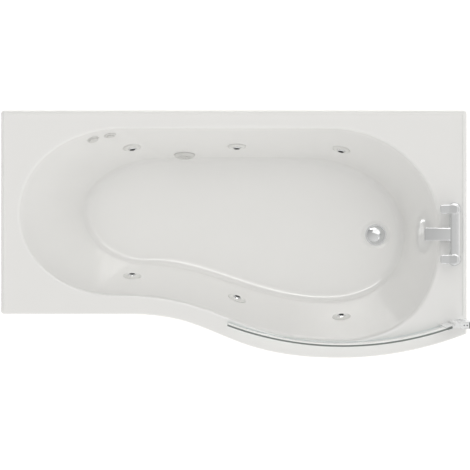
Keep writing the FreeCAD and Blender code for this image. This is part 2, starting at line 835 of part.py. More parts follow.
def foot_spots():
    """Each stud's X and Y, and the sheet it passes: under face and top face."""
    spots = []
    for x in rail_xs():
        front, back = rail_span(x)
        spots += [(x, front + FOOT_SET, WEB_Z, BOARD_Z), (x, back - FOOT_SET, WEB_Z, BOARD_Z)]
    for y in (TRAY_FRONT + TRAY_FOOT_SET, TRAY_BACK - TRAY_FOOT_SET):
        spots.append((-TRAY_END + TRAY_FOOT_SET, y, TRAY_Z, TRAY_TOP))
    return spots


def screw_spots():
    """Where the rails are screwed up into the board."""
    front = NARROW_Y + NARROW_DECK + NARROW_RUN + BOARD_INSET + RAIL_WIDTH
    back = HALF_WIDTH - BACK_DECK - BACK_RUN - BOARD_INSET - RAIL_WIDTH
    return [(x, y) for x in rail_xs() for y in (front, back)]


def tray_bolt_ys():
    """The two bolts that hold the pump tray to the first rail."""
    return (TRAY_FRONT + 2 * RAIL_WIDTH, TRAY_BACK - 2 * RAIL_WIDTH)


def frame_parts():
    """Base board, rails, tray, feet and screws."""
    board = Part.Face(bowl_wire(FLOOR_Z, -BOARD_INSET)).extrude(Vector(0, 0, BOARD))
    board.translate(Vector(0, 0, BOARD_Z - FLOOR_Z))
    board = board.cut(cylinder(BOARD_HOLE, BOARD_Z, UNDER_Z, WASTE_X, WASTE_Y))
    rails = []
    half = RAIL_WIDTH / 2
    hollow = half - RAIL_SHEET
    for x in rail_xs():
        front, back = rail_span(x)
        rail = block(x - half, x + half, front, back, RAIL_Z, BOARD_Z)
        rails.append(rail.cut(block(x - hollow, x + hollow, front, back, RAIL_Z, WEB_Z)))
    face_x = rail_xs()[0] - half
    tray = pump_tray(face_x)
    screws = []
    for x, y in screw_spots():
        shank = cylinder(SCREW_R, WEB_Z, BOARD_Z + SCREW_BITE, x, y)
        screws.append(fuse([shank, cylinder(SCREW_HEAD_R, WEB_Z - SCREW_HEAD, WEB_Z, x, y)]))
        board = board.cut(shank)
        rails = [r.cut(shank) for r in rails]
    bolts = []
    for y in tray_bolt_ys():
        bar, ends = tray_bolt(face_x, y)
        bolts.append(fuse([bar] + ends))
        tray = tray.cut(bar)
        rails[0] = rails[0].cut(bar)
    studs, nuts, pads = [], [], []
    for x, y, low, high in foot_spots():
        stud = cylinder(STUD_R, PAD_HEIGHT - PAD_SOCKET, high + STUD_ABOVE, x, y)
        studs.append(stud)
        nuts.append(hexagon(NUT_AF, low - NUT_THICK, low, x, y, STUD_R))
        nuts.append(hexagon(NUT_AF, high, high + NUT_THICK, x, y, STUD_R))
        pads.append(foot_pad(x, y).cut(stud))
        rails = [r.cut(stud) for r in rails]
        tray = tray.cut(stud)
    return {
        "base_board": board,
        "leg_rails": rails,
        "pump_tray": tray,
        "frame_screws": screws + bolts,
        "foot_studs": studs + nuts,
        "foot_pads": pads,
    }


def tray_bolt(face_x, y):
    """One bolt through the tray's flange and the rail's side: its bar, and its head and nut."""
    middle = RAIL_Z + TRAY_BOLT_UP
    sheets = TRAY_SHEET + RAIL_SHEET

    def bar(radius, length, x):
        return Part.makeCylinder(radius, length, Vector(x, y, middle), Vector(1, 0, 0))

    head = bar(2 * TRAY_BOLT_R, TRAY_BOLT_R, face_x - TRAY_SHEET - TRAY_BOLT_R)
    nut = bar(2 * TRAY_BOLT_R, TRAY_BOLT_R, face_x + RAIL_SHEET)
    return bar(TRAY_BOLT_R, sheets + NUT_THICK, face_x - TRAY_SHEET), [head, nut]


def foot_pad(x, y):
    """One levelling pad: a wide sole under a tapered boss."""
    sole = PAD_HEIGHT / 3
    pad = revolve([(0, 0), (PAD_R, 0), (PAD_R, sole), (2 * STUD_R, PAD_HEIGHT), (0, PAD_HEIGHT)])
    pad.translate(Vector(x, y, 0))
    return pad


def pump_tray(rail_face):
    """Folded tray: floor, two long folds and an upright flange against the first rail."""
    floor = block(-TRAY_END, rail_face, TRAY_FRONT, TRAY_BACK, TRAY_Z, TRAY_TOP)
    low = min(TRAY_Z, RAIL_Z)
    flange = block(rail_face - TRAY_SHEET, rail_face, TRAY_FRONT, TRAY_BACK, low, WEB_Z)
    folds = [
        block(-TRAY_END, rail_face, TRAY_FRONT, TRAY_FRONT + TRAY_SHEET, TRAY_Z, TRAY_Z + TRAY_FOLD),
        block(-TRAY_END, rail_face, TRAY_BACK - TRAY_SHEET, TRAY_BACK, TRAY_Z, TRAY_Z + TRAY_FOLD),
    ]
    return fuse([floor, flange] + folds)


def rim_parts():
    """Battens glued under the deck, and the two brackets that fix the back batten to the wall."""
    low = BATTEN_Z
    lip = SHELL_WALL + BATTEN_SET
    back = HALF_WIDTH - lip
    foot = -HALF_LENGTH + lip
    front = NARROW_Y + lip
    end = HALF_LENGTH - BATTEN_END
    battens = [
        block(-end, end, back - BATTEN_WIDTH, back, low, DECK_UNDER),
        block(foot, foot + BATTEN_WIDTH, front + BATTEN_END, back - BATTEN_END, low, DECK_UNDER),
        block(-end, -HALF_LENGTH + S_FROM_FOOT_END, front, front + BATTEN_WIDTH, low, DECK_UNDER),
    ]
    brackets, screws = [], []
    for x in (-BRACKET_X, BRACKET_X):
        x0 = x - BRACKET_WIDTH / 2
        x1 = x + BRACKET_WIDTH / 2
        leaf = block(x0, x1, HALF_WIDTH - BRACKET_SHEET, HALF_WIDTH, low - BRACKET_DROP, low)
        shelf = block(x0, x1, back - BATTEN_WIDTH, HALF_WIDTH, low - BRACKET_SHEET, low)
        spot = Vector(x, HALF_WIDTH - BRACKET_SHEET, bracket_hole_z())
        hole = Part.makeCylinder(BRACKET_HOLE_R, BRACKET_SHEET, spot, Vector(0, 1, 0))
        middle = back - BATTEN_WIDTH / 2
        shank = cylinder(SCREW_R, low - BRACKET_SHEET, low + SCREW_BITE, x, middle)
        head = cylinder(SCREW_HEAD_R, low - BRACKET_SHEET - SCREW_HEAD, low - BRACKET_SHEET, x, middle)
        screws.append(fuse([shank, head]))
        battens[0] = battens[0].cut(shank)
        brackets.append(fuse([leaf, shelf]).cut(hole).cut(shank))
    return {"rim_battens": battens, "wall_brackets": brackets, "frame_screws": screws}


def bracket_hole_z():
    """Height of the wall brackets' holes."""
    return BATTEN_Z - BRACKET_DROP / 2


# Jets

def jet_bezel():
    """White flange and threaded sleeve with the round seat for the eyeball, drawn along local Z."""
    face = SEAL + JET_BEZEL
    flange = revolve([
        (0, SEAL), (JET_BEZEL_R, SEAL), (JET_BEZEL_R, SEAL + JET_BEZEL / 3),
        (JET_BEZEL_R - JET_BEZEL, face - JET_BEZEL / 6), (BALL_R + JET_BEZEL_LIP, face), (0, face),
    ])
    bezel = flange.fuse(cylinder(JET_SLEEVE_R, -JET_SLEEVE_BACK, SEAL))
    room = BALL_R + RUN_GAP
    bezel = bezel.cut(Part.makeSphere(room, Vector(0, 0, -BALL_SET)))
    return bezel.cut(cylinder(room, -JET_SLEEVE_BACK, -BALL_SET))


def jet_eyeball():
    """Ball with flattened ends, a flared mouth and a straight bore, drawn along local Z."""
    ball = Part.makeSphere(BALL_R, Vector(0, 0, -BALL_SET))
    front = BALL_FRONT - BALL_SET
    back = -BALL_BACK - BALL_SET
    ball = ball.common(cylinder(BALL_R, back, front))
    ball = ball.cut(cylinder(JET_BORE_R, back, front))
    depth = BALL_FRONT - BALL_SET
    return ball.cut(Part.makeCone(JET_BORE_R, JET_BORE_MOUTH_R, depth, Vector(0, 0, front - depth)))


def jet_nut_back():
    """How far behind the inner wall face the lock nut ends."""
    return 2 * SHELL_WALL + JET_NUT


def jet_body(seat):
    """Cup behind the wall with a water spigot below and an air spigot above."""
    open_end = -jet_nut_back() - RUN_GAP
    cup = place(cylinder(JET_BODY_R, -JET_BODY_BACK, open_end), seat)
    tee = along(seat, -JET_TAP_BACK)
    water = cylinder(WATER_SPIGOT_R, tee.z - WATER_SPIGOT, tee.z, tee.x, tee.y)
    air = cylinder(AIR_SPIGOT_R, tee.z, tee.z + AIR_SPIGOT, tee.x, tee.y)
    socket = place(cylinder(JET_SLEEVE_R + RUN_GAP / 3, -JET_SLEEVE_BACK - RUN_GAP, 0), seat)
    chamber = place(cylinder(BALL_R, -JET_BODY_BACK + SHELL_WALL, 0), seat)
    bores = [
        cylinder(WATER_SPIGOT_R - WATER_WALL, tee.z - WATER_SPIGOT, tee.z, tee.x, tee.y),
        cylinder(AIR_SPIGOT_R - AIR_WALL, tee.z, tee.z + AIR_SPIGOT, tee.x, tee.y),
    ]
    body = fuse([cup, water, air])
    for cut in [socket, chamber] + bores:
        body = body.cut(cut)
    return body


def jet_parts(shell, seats):
    """All six jets: seals, bezels, nuts and bodies in groups, one eyeball node each."""
    nut = ring(JET_NUT_R, JET_SLEEVE_R, -jet_nut_back(), -2 * SHELL_WALL)
    seal_r = JET_NUT_R - JET_NUT_FLAT
    flat = block(-JET_NUT_R, JET_NUT_R, seal_r, JET_NUT_R, -jet_nut_back(), 0)
    for k in range(JET_NUT_FLATS):
        nut = nut.cut(place(flat, spin_seat(k, JET_NUT_FLATS)))
    bezel = jet_bezel()
    eyeball = jet_eyeball()
    parts = {"jet_bezels": [], "wall_seals": [], "wall_nuts": [], "jet_bodies": []}
    for name, _, _ in jet_names():
        seat = seats[name]
        parts["jet_bezels"].append(place(bezel, seat))
        parts["wall_seals"].append(front_seal(shell, seat, JET_BEZEL_R - SEAL_SET, JET_HOLE_R))
        parts["wall_seals"].append(back_seal(shell, seat, seal_r, JET_HOLE_R))
        parts["wall_nuts"].append(place(nut, seat))
        parts["jet_bodies"].append(jet_body(seat))
        parts[name + "_jet"] = place(eyeball, seat)
    return parts


def spin_seat(step, steps):
    """A seat on the local Z axis, turned by a share of a full turn."""
    angle = 2 * math.pi * step / steps
    across = Vector(math.cos(angle), math.sin(angle), 0)
    return Seat(Vector(0, 0, 0), across, Vector(0, 0, 1).cross(across), Vector(0, 0, 1))


# Suction

def suction_parts(shell, seat):
    """Slotted grille, flanged body, lock nut, seals, and the pipe that falls steadily to the pump."""
    face = SEAL + SUCTION_FLANGE
    sleeve = cylinder(SUCTION_SLEEVE_R, -SUCTION_TAIL, SEAL)
    body = sleeve.fuse(cylinder(SUCTION_FLANGE_R, SEAL, face))
    body = body.cut(cylinder(SUCTION_BORE_R, -SUCTION_TAIL, face))
    nut = ring(JET_NUT_R, SUCTION_SLEEVE_R, -jet_nut_back(), -2 * SHELL_WALL)
    top = SEAL + GRILLE_HEIGHT
    step = GRILLE_SHEET
    outside = revolve([
        (0, SEAL), (GRILLE_R, SEAL), (GRILLE_R, SEAL + GRILLE_HEIGHT / 3), (GRILLE_R - step, top - step),
        (GRILLE_R - 3 * step, top), (0, top),
    ])
    inside = revolve([
        (0, SEAL), (GRILLE_R - step, SEAL), (GRILLE_R - step, SEAL + GRILLE_HEIGHT / 3),
        (GRILLE_R - 3 * step, top - step), (0, top - step),
    ])
    post = ring(SUCTION_FLANGE_R - step, SUCTION_FLANGE_R - 2 * step, face, top - step / 2)
    grille = outside.cut(inside).fuse(post)
    hub = GRILLE_R / 4
    rim = SUCTION_FLANGE_R - 3 * step
    for k in range(GRILLE_SLOTS):
        slot = block(hub, rim, -GRILLE_SLOT / 2, GRILLE_SLOT / 2, face, top)
        grille = grille.cut(place(slot, spin_seat(k, GRILLE_SLOTS)))
    start = along(seat, -SUCTION_TAIL)
    elbow = along(seat, -SUCTION_TAIL - SUCTION_RUN)
    corner = Vector(PUMP_X, elbow.y, PUMP_Z)
    route = [start, elbow, corner, Vector(PUMP_X, INLET_Y, PUMP_Z)]
    return {
        "suction_body": place(body, seat),
        "wall_nuts": [place(nut, seat)],
        "wall_seals": [
            front_seal(shell, seat, SUCTION_FLANGE_R, SUCTION_HOLE_R),
            back_seal(shell, seat, JET_NUT_R - JET_NUT_FLAT, SUCTION_HOLE_R),
        ],
        "suction_grille": place(grille, seat),
        "suction_pipe": swept_pipe(route, SUCTION_BEND, SUCTION_PIPE_R, SUCTION_PIPE_WALL),
    }


# Controls

def control_seals(shell, seats):
    """Rings before and behind the wall for both controls."""
    seals = []
    radius = CONTROL_R - SEAL_SET
    for name in ("air", "button"):
        seals.append(front_seal(shell, seats[name], radius, CONTROL_HOLE_R))
        seals.append(back_seal(shell, seats[name], radius, CONTROL_HOLE_R))
    return seals


def control_face():
    """Height of both control flanges over the wall."""
    return SEAL + CONTROL_FLANGE


def control_flange():
    """Round flange with a sleeve, before its bore."""
    face = control_face()
    flange = revolve([
        (0, SEAL), (CONTROL_R, SEAL), (CONTROL_R, face - CONTROL_BEVEL),
        (CONTROL_R - CONTROL_BEVEL, face), (0, face),
    ])
    return flange.fuse(cylinder(CONTROL_SLEEVE_R, -CONTROL_TAIL, SEAL))


def air_spigot_point(seat):
    """Where the air control's tail turns down to the air pipe."""
    return along(seat, -CONTROL_TAIL - AIR_R)


def control_parts(shell, seats):
    """Air control with its knob, and the on/off button with its bellows."""
    face = control_face()
    air_seat = seats["air"]
    tee = air_spigot_point(air_seat)
    air_body = control_flange().fuse(cylinder(AIR_R + AIR_WALL, -CONTROL_TAIL - 2 * AIR_R, -CONTROL_TAIL))
    air_body = air_body.cut(cylinder(KNOB_STEM_R + RUN_GAP, face - KNOB_STEM - 2 * RUN_GAP, face))
    air_body = place(air_body, air_seat)
    spigot = cylinder(AIR_SPIGOT_R, tee.z - AIR_SPIGOT, tee.z, tee.x, tee.y)
    air_body = air_body.fuse(spigot).removeSplitter()
    knob_top = face + KNOB_HEIGHT
    narrow = KNOB_R - KNOB_TAPER
    knob = revolve([
        (0, face + RUN_GAP), (KNOB_R, face + RUN_GAP), (narrow, knob_top - KNOB_BEVEL),
        (narrow - KNOB_BEVEL, knob_top), (0, knob_top),
    ])
    knob = knob.fuse(cylinder(KNOB_STEM_R, face - KNOB_STEM, face + RUN_GAP))
    for k in range(KNOB_FLUTES):
        flute = cylinder(KNOB_FLUTE_R, face, knob_top, KNOB_R, 0)
        knob = knob.cut(place(flute, spin_seat(k, KNOB_FLUTES)))
    button = control_flange().cut(cylinder(CAP_R + RUN_GAP, -BUTTON_FLOOR, face))
    button = button.fuse(cylinder(BARB_R, -CONTROL_TAIL - BARB, -CONTROL_TAIL))
    top = face + CAP_PROUD
    cap = revolve([
        (0, face - CAP_DEEP), (CAP_R, face - CAP_DEEP), (CAP_R, top - CAP_BEVEL), (CAP_R - CAP_BEVEL, top),
        (0, top),
    ])
    nut = ring(CONTROL_R, CONTROL_SLEEVE_R, -2 * SHELL_WALL - CONTROL_NUT, -2 * SHELL_WALL)
    return {
        "air_control_body": air_body,
        "air_control_knob": place(knob, air_seat),
        "button_body": place(button, seats["button"]),
        "button_cap": place(cap, seats["button"]),
        "button_bellows": place(bellows(face - CAP_DEEP), seats["button"]),
        "wall_nuts": [place(nut, seats[name]) for name in ("air", "button")],
        "wall_seals": control_seals(shell, seats),
    }


def bellows(top):
    """Thin folded rubber tube between the button's floor and its cap."""
    pitch = (top + BUTTON_FLOOR) / (2 * BELLOWS_FOLDS)
    outer = [
        (BELLOWS_R - (k % 2) * BELLOWS_FOLD, -BUTTON_FLOOR + k * pitch) for k in range(2 * BELLOWS_FOLDS + 1)
    ]
    inner = [(r - BELLOWS_WALL, z) for r, z in reversed(outer)]
    return revolve(outer + inner)


# Pipes

def tee_point(seat):
    """Where a jet body's spigots stand."""
    return along(seat, -JET_TAP_BACK)


def level(point, z):
    """A point moved to a height."""
    return Vector(point.x, point.y, z)


def branched_pipe(route, bend, radius, wall, stubs, cap):
    """A tube with upright stubs, each (x, y, low, high, outer radius); its bore ends at the cap point."""
    path = route[:-1] + [cap]
    bore = swept_pipe(path, bend, radius - wall)
    pieces = [swept_pipe(path, bend, radius, wall)]
    pieces += [cylinder(r, a, b, x, y).cut(bore) for x, y, a, b, r in stubs]
    if cap != route[-1]:
        heading = (route[-1] - cap).normalize()
        pieces.append(round_face(radius, 0.0, cap, heading).extrude(route[-1] - cap))
    tube = fuse(pieces)
    for x, y, a, b, r in stubs:
        tube = tube.cut(cylinder(r - wall, a, b, x, y))
    return tube


def jet_run(seats, wall, z, lead):
    """The route past one wall's three jets at a height: from a lead-in point to just past the last jet."""
    stops = ("left", "left_guide", "middle", "right_guide", "right")
    spots = [level(tee_point(seats[f"{wall}_{stop}"]), z) for stop in stops]
    heading = (spots[-1] - spots[-2]).normalize()
    return [lead] + spots + [spots[-1] + heading * PIPE_END]


def water_parts(seats):
    """The water pipes past the back and front jets, and the cross pipe over the pump."""
    parts = {"jet_water_pipes": []}
    joins = {}
    for wall in ("back", "front"):
        first = tee_point(seats[f"{wall}_left"])
        joins[wall] = Vector(PIPE_JOIN_X, first.y, WATER_Z)
        route = jet_run(seats, wall, WATER_Z, joins[wall])
        stubs = []
        for spot in ("left", "middle", "right"):
            tee = tee_point(seats[f"{wall}_{spot}"])
            stubs.append((tee.x, tee.y, WATER_Z, tee.z - WATER_SPIGOT, WATER_SPIGOT_R))
        cap = route[-1] - (route[-1] - route[-2]).normalize() * WATER_WALL
        parts["jet_water_pipes"].append(branched_pipe(route, WATER_BEND, WATER_R, WATER_WALL, stubs, cap))
    outlet = PUMP_Z + OUTLET_ABOVE
    corners = [Vector(PUMP_X, joins[wall].y, WATER_Z) for wall in ("back", "front")]
    cross = [joins["back"]] + corners + [joins["front"]]
    stub = [(PUMP_X, OUTLET_Y, outlet, WATER_Z, OUTLET_TAIL_R)]
    parts["cross_water_pipe"] = branched_pipe(cross, WATER_BEND, WATER_R, WATER_WALL, stub, cross[-1])
    return parts


def air_parts(seats):
    """Back, front and foot-end air pipes."""
    pipes = []
    control = air_spigot_point(seats["air"])
    front_first = tee_point(seats["front_left"])
    leads = {"back": level(control, AIR_Z), "front": Vector(PIPE_JOIN_X, front_first.y, AIR_Z)}
    for wall in ("back", "front"):
        route = jet_run(seats, wall, AIR_Z, leads[wall])
        stubs = []
        for spot in ("left", "middle", "right"):
            tee = tee_point(seats[f"{wall}_{spot}"])
            stubs.append((tee.x, tee.y, tee.z + AIR_SPIGOT, AIR_Z, AIR_SPIGOT_R))
        if wall == "back":
            reach = route[1] - route[0]
            route[0] = route[0] - reach.normalize() * PIPE_END
            stubs.append((control.x, control.y, AIR_Z, control.z - AIR_SPIGOT, AIR_SPIGOT_R))
        cap = route[-1] - (route[-1] - route[-2]).normalize() * AIR_WALL
        pipes.append(branched_pipe(route, AIR_BEND, AIR_R, AIR_WALL, stubs, cap))
        leads[wall] = route[0]
        if wall == "back":
            heading = (route[0] - route[1]).normalize()
    foot_x = -HALF_LENGTH + AIR_FOOT_SET
    turn = leads["back"] + heading * ((foot_x - leads["back"].x) / heading.x)
    loop = [leads["back"], turn, Vector(foot_x, leads["front"].y, AIR_Z), leads["front"]]
    pipes.append(swept_pipe(loop, AIR_BEND, AIR_R, AIR_WALL))
    return {"air_pipes": pipes}


# Pump

def pump_seat(y):
    """A seat on the pump's axis, local Z along +Y."""
    return Seat(Vector(PUMP_X, y, PUMP_Z), Vector(-1, 0, 0), Vector(0, 0, 1), Vector(0, 1, 0))


def motor():
    """Finned motor case with a bore for the shaft, drawn along local Z."""
    case = cylinder(MOTOR_R, 0, MOTOR_LENGTH)
    half = MOTOR_FIN / 2
    fin = block(MOTOR_R - MOTOR_FIN, MOTOR_FIN_R, -half, half, MOTOR_FIN, MOTOR_LENGTH - MOTOR_FIN)
    fins = []
    for k in range(MOTOR_FINS):
        fins.append(place(fin, spin_seat(k, MOTOR_FINS)))
    case = case.multiFuse(fins)
    return case.cut(cylinder(SHAFT_R + RUN_GAP, 0, MOTOR_LENGTH))


def fan_cowl():
    """Slotted cup over the fan, drawn along local Z, open towards the motor at zero."""
    cup = cylinder(COWL_R, -COWL_LENGTH, 0)
    cup = cup.cut(cylinder(COWL_R - COWL_SHEET, -COWL_LENGTH + COWL_SHEET, 0))
    half = COWL_SLOT / 2
    slot = block(COWL_R / 3, COWL_R * 3 / 4, -half, half, -COWL_LENGTH, -COWL_LENGTH / 2)
    for k in range(COWL_SLOTS):
        cup = cup.cut(place(slot, spin_seat(k, COWL_SLOTS)))
    flange = ring(COWL_R, SHAFT_R + 2 * RUN_GAP, -COWL_SHEET, 0)
    return fuse([cup, flange])


def volute():
    """Pump chamber with an axial inlet and an outlet straight up, drawn along local Z."""
    length = VOLUTE_LENGTH
    case = revolve([
        (0, 0), (VOLUTE_R - VOLUTE_BACK_BEVEL, 0), (VOLUTE_R, VOLUTE_BACK_BEVEL),
        (VOLUTE_R, length - VOLUTE_FRONT_BEVEL), (VOLUTE_R - VOLUTE_FRONT_BEVEL, length),
        (INLET_R, length), (INLET_R, length + INLET_LENGTH), (0, length + INLET_LENGTH),
    ])
    middle = Vector(0, 0, length / 2)
    outlet = Part.makeCylinder(OUTLET_R, OUTLET_ABOVE, middle, Vector(0, 1, 0))
    bore = Part.makeCylinder(OUTLET_TAIL_R - WATER_WALL, OUTLET_ABOVE, middle, Vector(0, 1, 0))
    chamber = cylinder(VOLUTE_R - VOLUTE_WALL, VOLUTE_WALL, length - VOLUTE_WALL)
    case = fuse([case, outlet]).cut(bore).cut(chamber)
    case = case.cut(cylinder(SHAFT_R + RUN_GAP, 0, VOLUTE_WALL))
    inlet_r = SUCTION_PIPE_R - SUCTION_PIPE_WALL
    return case.cut(cylinder(inlet_r, length - VOLUTE_WALL, length + INLET_LENGTH))


def rotor():
    """Shaft with the cooling fan at one end and the impeller at the other, from the motor's rear face."""
    start = -COWL_LENGTH + 3 * COWL_SHEET
    disc = MOTOR_LENGTH + VOLUTE_WALL + COWL_SHEET
    pieces = [
        cylinder(SHAFT_R, start, disc + IMPELLER_DISC),
        cylinder(2 * SHAFT_R, start, start + FAN_WIDTH),
        cylinder(IMPELLER_R, disc, disc + IMPELLER_DISC),
    ]
    half = FAN_BLADE / 2
    blade = block(SHAFT_R, FAN_R, -half, half, start, start + FAN_WIDTH)
    pieces += [place(blade, spin_seat(k, FAN_BLADES)) for k in range(FAN_BLADES)]
    half = IMPELLER_VANE / 2
    vane = block(INLET_R, IMPELLER_R, -half, half, disc, disc + IMPELLER_DISC + IMPELLER_DEPTH)
    pieces += [place(vane, spin_seat(k, IMPELLER_VANES)) for k in range(IMPELLER_VANES)]
    return fuse(pieces)


def pump_parts():
    """Pump, its foot plate and mounts, switch box, gland and union nuts."""
    rear = pump_seat(PUMP_REAR_Y)
    front = pump_seat(VOLUTE_Y)
    x0 = PUMP_X - FOOT_PLATE_X / 2
    x1 = PUMP_X + FOOT_PLATE_X / 2
    middle = PUMP_REAR_Y + MOTOR_LENGTH / 2
    y0 = middle - FOOT_PLATE_Y / 2
    y1 = middle + FOOT_PLATE_Y / 2
    plate_top = PLATE_Z + FOOT_PLATE
    hollow = place(cylinder(MOTOR_FIN_R + RUN_GAP / 2, 0, MOTOR_LENGTH), rear)
    plate = block(x0, x1, y0, y1, PLATE_Z, plate_top)
    saddles = []
    for y in (y0 + FOOT_SADDLE, y1 - 2 * FOOT_SADDLE):
        wall = block(x0 + 2 * MOUNT_R, x1 - 2 * MOUNT_R, y, y + FOOT_SADDLE, plate_top, PUMP_Z - MOTOR_R / 2)
        saddles.append(wall.cut(hollow))
    mounts = [
        cylinder(MOUNT_R, TRAY_TOP, PLATE_Z, x, y)
        for x in (x0 + MOUNT_R, x1 - MOUNT_R) for y in (y0 + MOUNT_R, y1 - MOUNT_R)
    ]
    box_out = PUMP_X - MOTOR_FIN_R - BOX_X
    box_in = PUMP_X - MOTOR_R / 2
    box_top = PUMP_Z + BOX_Z
    box = block(box_out, box_in, middle - BOX_Y / 2, middle + BOX_Y / 2, PUMP_Z, box_top).cut(hollow)
    box = box.fuse(cylinder(BARB_R, box_top, box_top + BARB, box_out + BOX_X / 2, middle))
    gland = place(ring(GLAND_R, GLAND_BORE_R, 0, GLAND), gland_seat())
    outlet = PUMP_Z + OUTLET_ABOVE
    unions = [
        ring(UNION_R, OUTLET_R, outlet - UNION / 2, outlet, PUMP_X, OUTLET_Y),
        place(ring(UNION_R, INLET_R, -UNION / 2, 0), pump_seat(INLET_Y)),
    ]
    lids = [
        ring(UNION_R, OUTLET_TAIL_R, outlet, outlet + UNION / 4, PUMP_X, OUTLET_Y),
        place(ring(UNION_R, SUCTION_PIPE_R, 0, UNION / 4), pump_seat(INLET_Y)),
    ]
    return {
        "pump_motor": place(motor(), rear),
        "pump_cowl": place(fan_cowl(), rear),
        "pump_volute": place(volute(), front),
        "pump_rotor": place(rotor(), rear),
        "pump_foot": fuse([plate] + saddles),
        "pump_mounts": mounts,
        "switch_box": box,
        "cable_gland": gland,
        "pump_unions": [fuse([nut, lid]) for nut, lid in zip(unions, lids)],
    }


def gland_seat():
    """The gland's seat on the front end of the switch box, local Z along -Y."""
    spot = Vector(
        PUMP_X - MOTOR_FIN_R - BOX_X / 2,
        PUMP_REAR_Y + MOTOR_LENGTH / 2 - BOX_Y / 2,
        PUMP_Z + BOX_Z / 2,
    )
    return Seat(spot, Vector(1, 0, 0), Vector(0, 0, 1), Vector(0, -1, 0))


# Waste and overflow

def waste_parts():
    """Flange with its spider, lifting plug, body under the floor, seal and trap."""
    top = DISH_Z + WASTE_FLANGE
    low = DISH_Z - WASTE_SLEEVE
    at = (WASTE_X, WASTE_Y)
    flange = fuse([cylinder(WASTE_FLANGE_R, DISH_Z, top, *at), cylinder(WASTE_SLEEVE_R, low, DISH_Z, *at)])
    flange = flange.cut(cylinder(WASTE_BORE_R, low, top, *at))
    spider_top = low + SPIDER
    arms = [cylinder(SPIDER_HUB_R, low, spider_top, *at)]
    half = SPIDER_ARM / 2
    for reach_x, reach_y in ((WASTE_BORE_R, half), (half, WASTE_BORE_R)):
        arm = block(-reach_x, reach_x, -reach_y, reach_y, low, spider_top)
        arm.translate(Vector(*at, 0))
        arms.append(arm)
    flange = fuse([flange] + arms).cut(cylinder(STEM_R + RUN_GAP, low, spider_top, *at))
    rest = top + RUN_GAP
    dome_r = (PLUG_R ** 2 + PLUG_RISE ** 2) / (2 * PLUG_RISE)
    dome = Part.makeSphere(dome_r, Vector(*at, rest + PLUG_EDGE + PLUG_RISE - dome_r))
    plug = cylinder(PLUG_R, rest, rest + PLUG_EDGE + PLUG_RISE, *at).common(dome)
    plug = plug.fuse(cylinder(STEM_R, low - PLUG_LIFT, rest, *at))
    seal_z = BOSS_Z - SEAL
    body_low = seal_z - WASTE_BODY
    body = cylinder(WASTE_BODY_R, body_low, seal_z, *at)
    tail = cylinder(TAIL_R, body_low - TAIL, body_low, *at)
    middle = Vector(*at, waste_spigot_z())
    reach = WASTE_BODY_R + SIDE_SPIGOT
    side = Part.makeCylinder(OVERFLOW_PIPE_R, reach, middle, Vector(1, 0, 0))
    side_bore = Part.makeCylinder(OVERFLOW_PIPE_R - OVERFLOW_PIPE_WALL, reach, middle, Vector(1, 0, 0))
    body = fuse([body, tail, side]).cut(side_bore)
    body = body.cut(cylinder(WASTE_SLEEVE_R + RUN_GAP / 3, body_low + SPIDER, seal_z, *at))
    body = body.cut(cylinder(TAIL_R - TRAP_WALL, body_low - TAIL, body_low + SPIDER, *at))
    seal = ring(WASTE_BODY_R, WASTE_HOLE_R, seal_z, BOSS_Z, *at)
    start = Vector(*at, body_low - TAIL)
    dip = start - Vector(0, 0, TRAP_DIP)
    across = dip + Vector(0, 2 * TRAP_BEND + TRAP_BETWEEN_BENDS, 0)
    rise = across + Vector(0, 0, TRAP_RISE)
    out = rise + Vector(0, TRAP_RUN, 0)
    route = [start, dip, across, rise, out]
    trap = swept_pipe(route, TRAP_BEND, TAIL_R, TRAP_WALL)
    collar = ring(TRAP_NUT_R, TAIL_R - TRAP_WALL / 2, start.z - UNION / 3, start.z, *at)
    skirt = ring(TRAP_NUT_R, TAIL_R + RUN_GAP / 3, start.z, start.z + UNION / 2, *at)
    end_seat = Seat(out - Vector(0, UNION, 0), Vector(-1, 0, 0), Vector(0, 0, 1), Vector(0, 1, 0))
    end = place(ring(TRAP_NUT_R, TAIL_R - TRAP_WALL / 2, 0, UNION), end_seat)
    trap = fuse([trap, collar, skirt, end])
    return {
        "waste_flange": flange,
        "waste_plug": plug.removeSplitter(),
        "waste_body": body,
        "wall_seals": [seal],
        "waste_trap": trap,
    }


def waste_spigot_z():
    """Height of the overflow's way into the waste body."""
    return BOSS_Z - SEAL - WASTE_BODY / 2


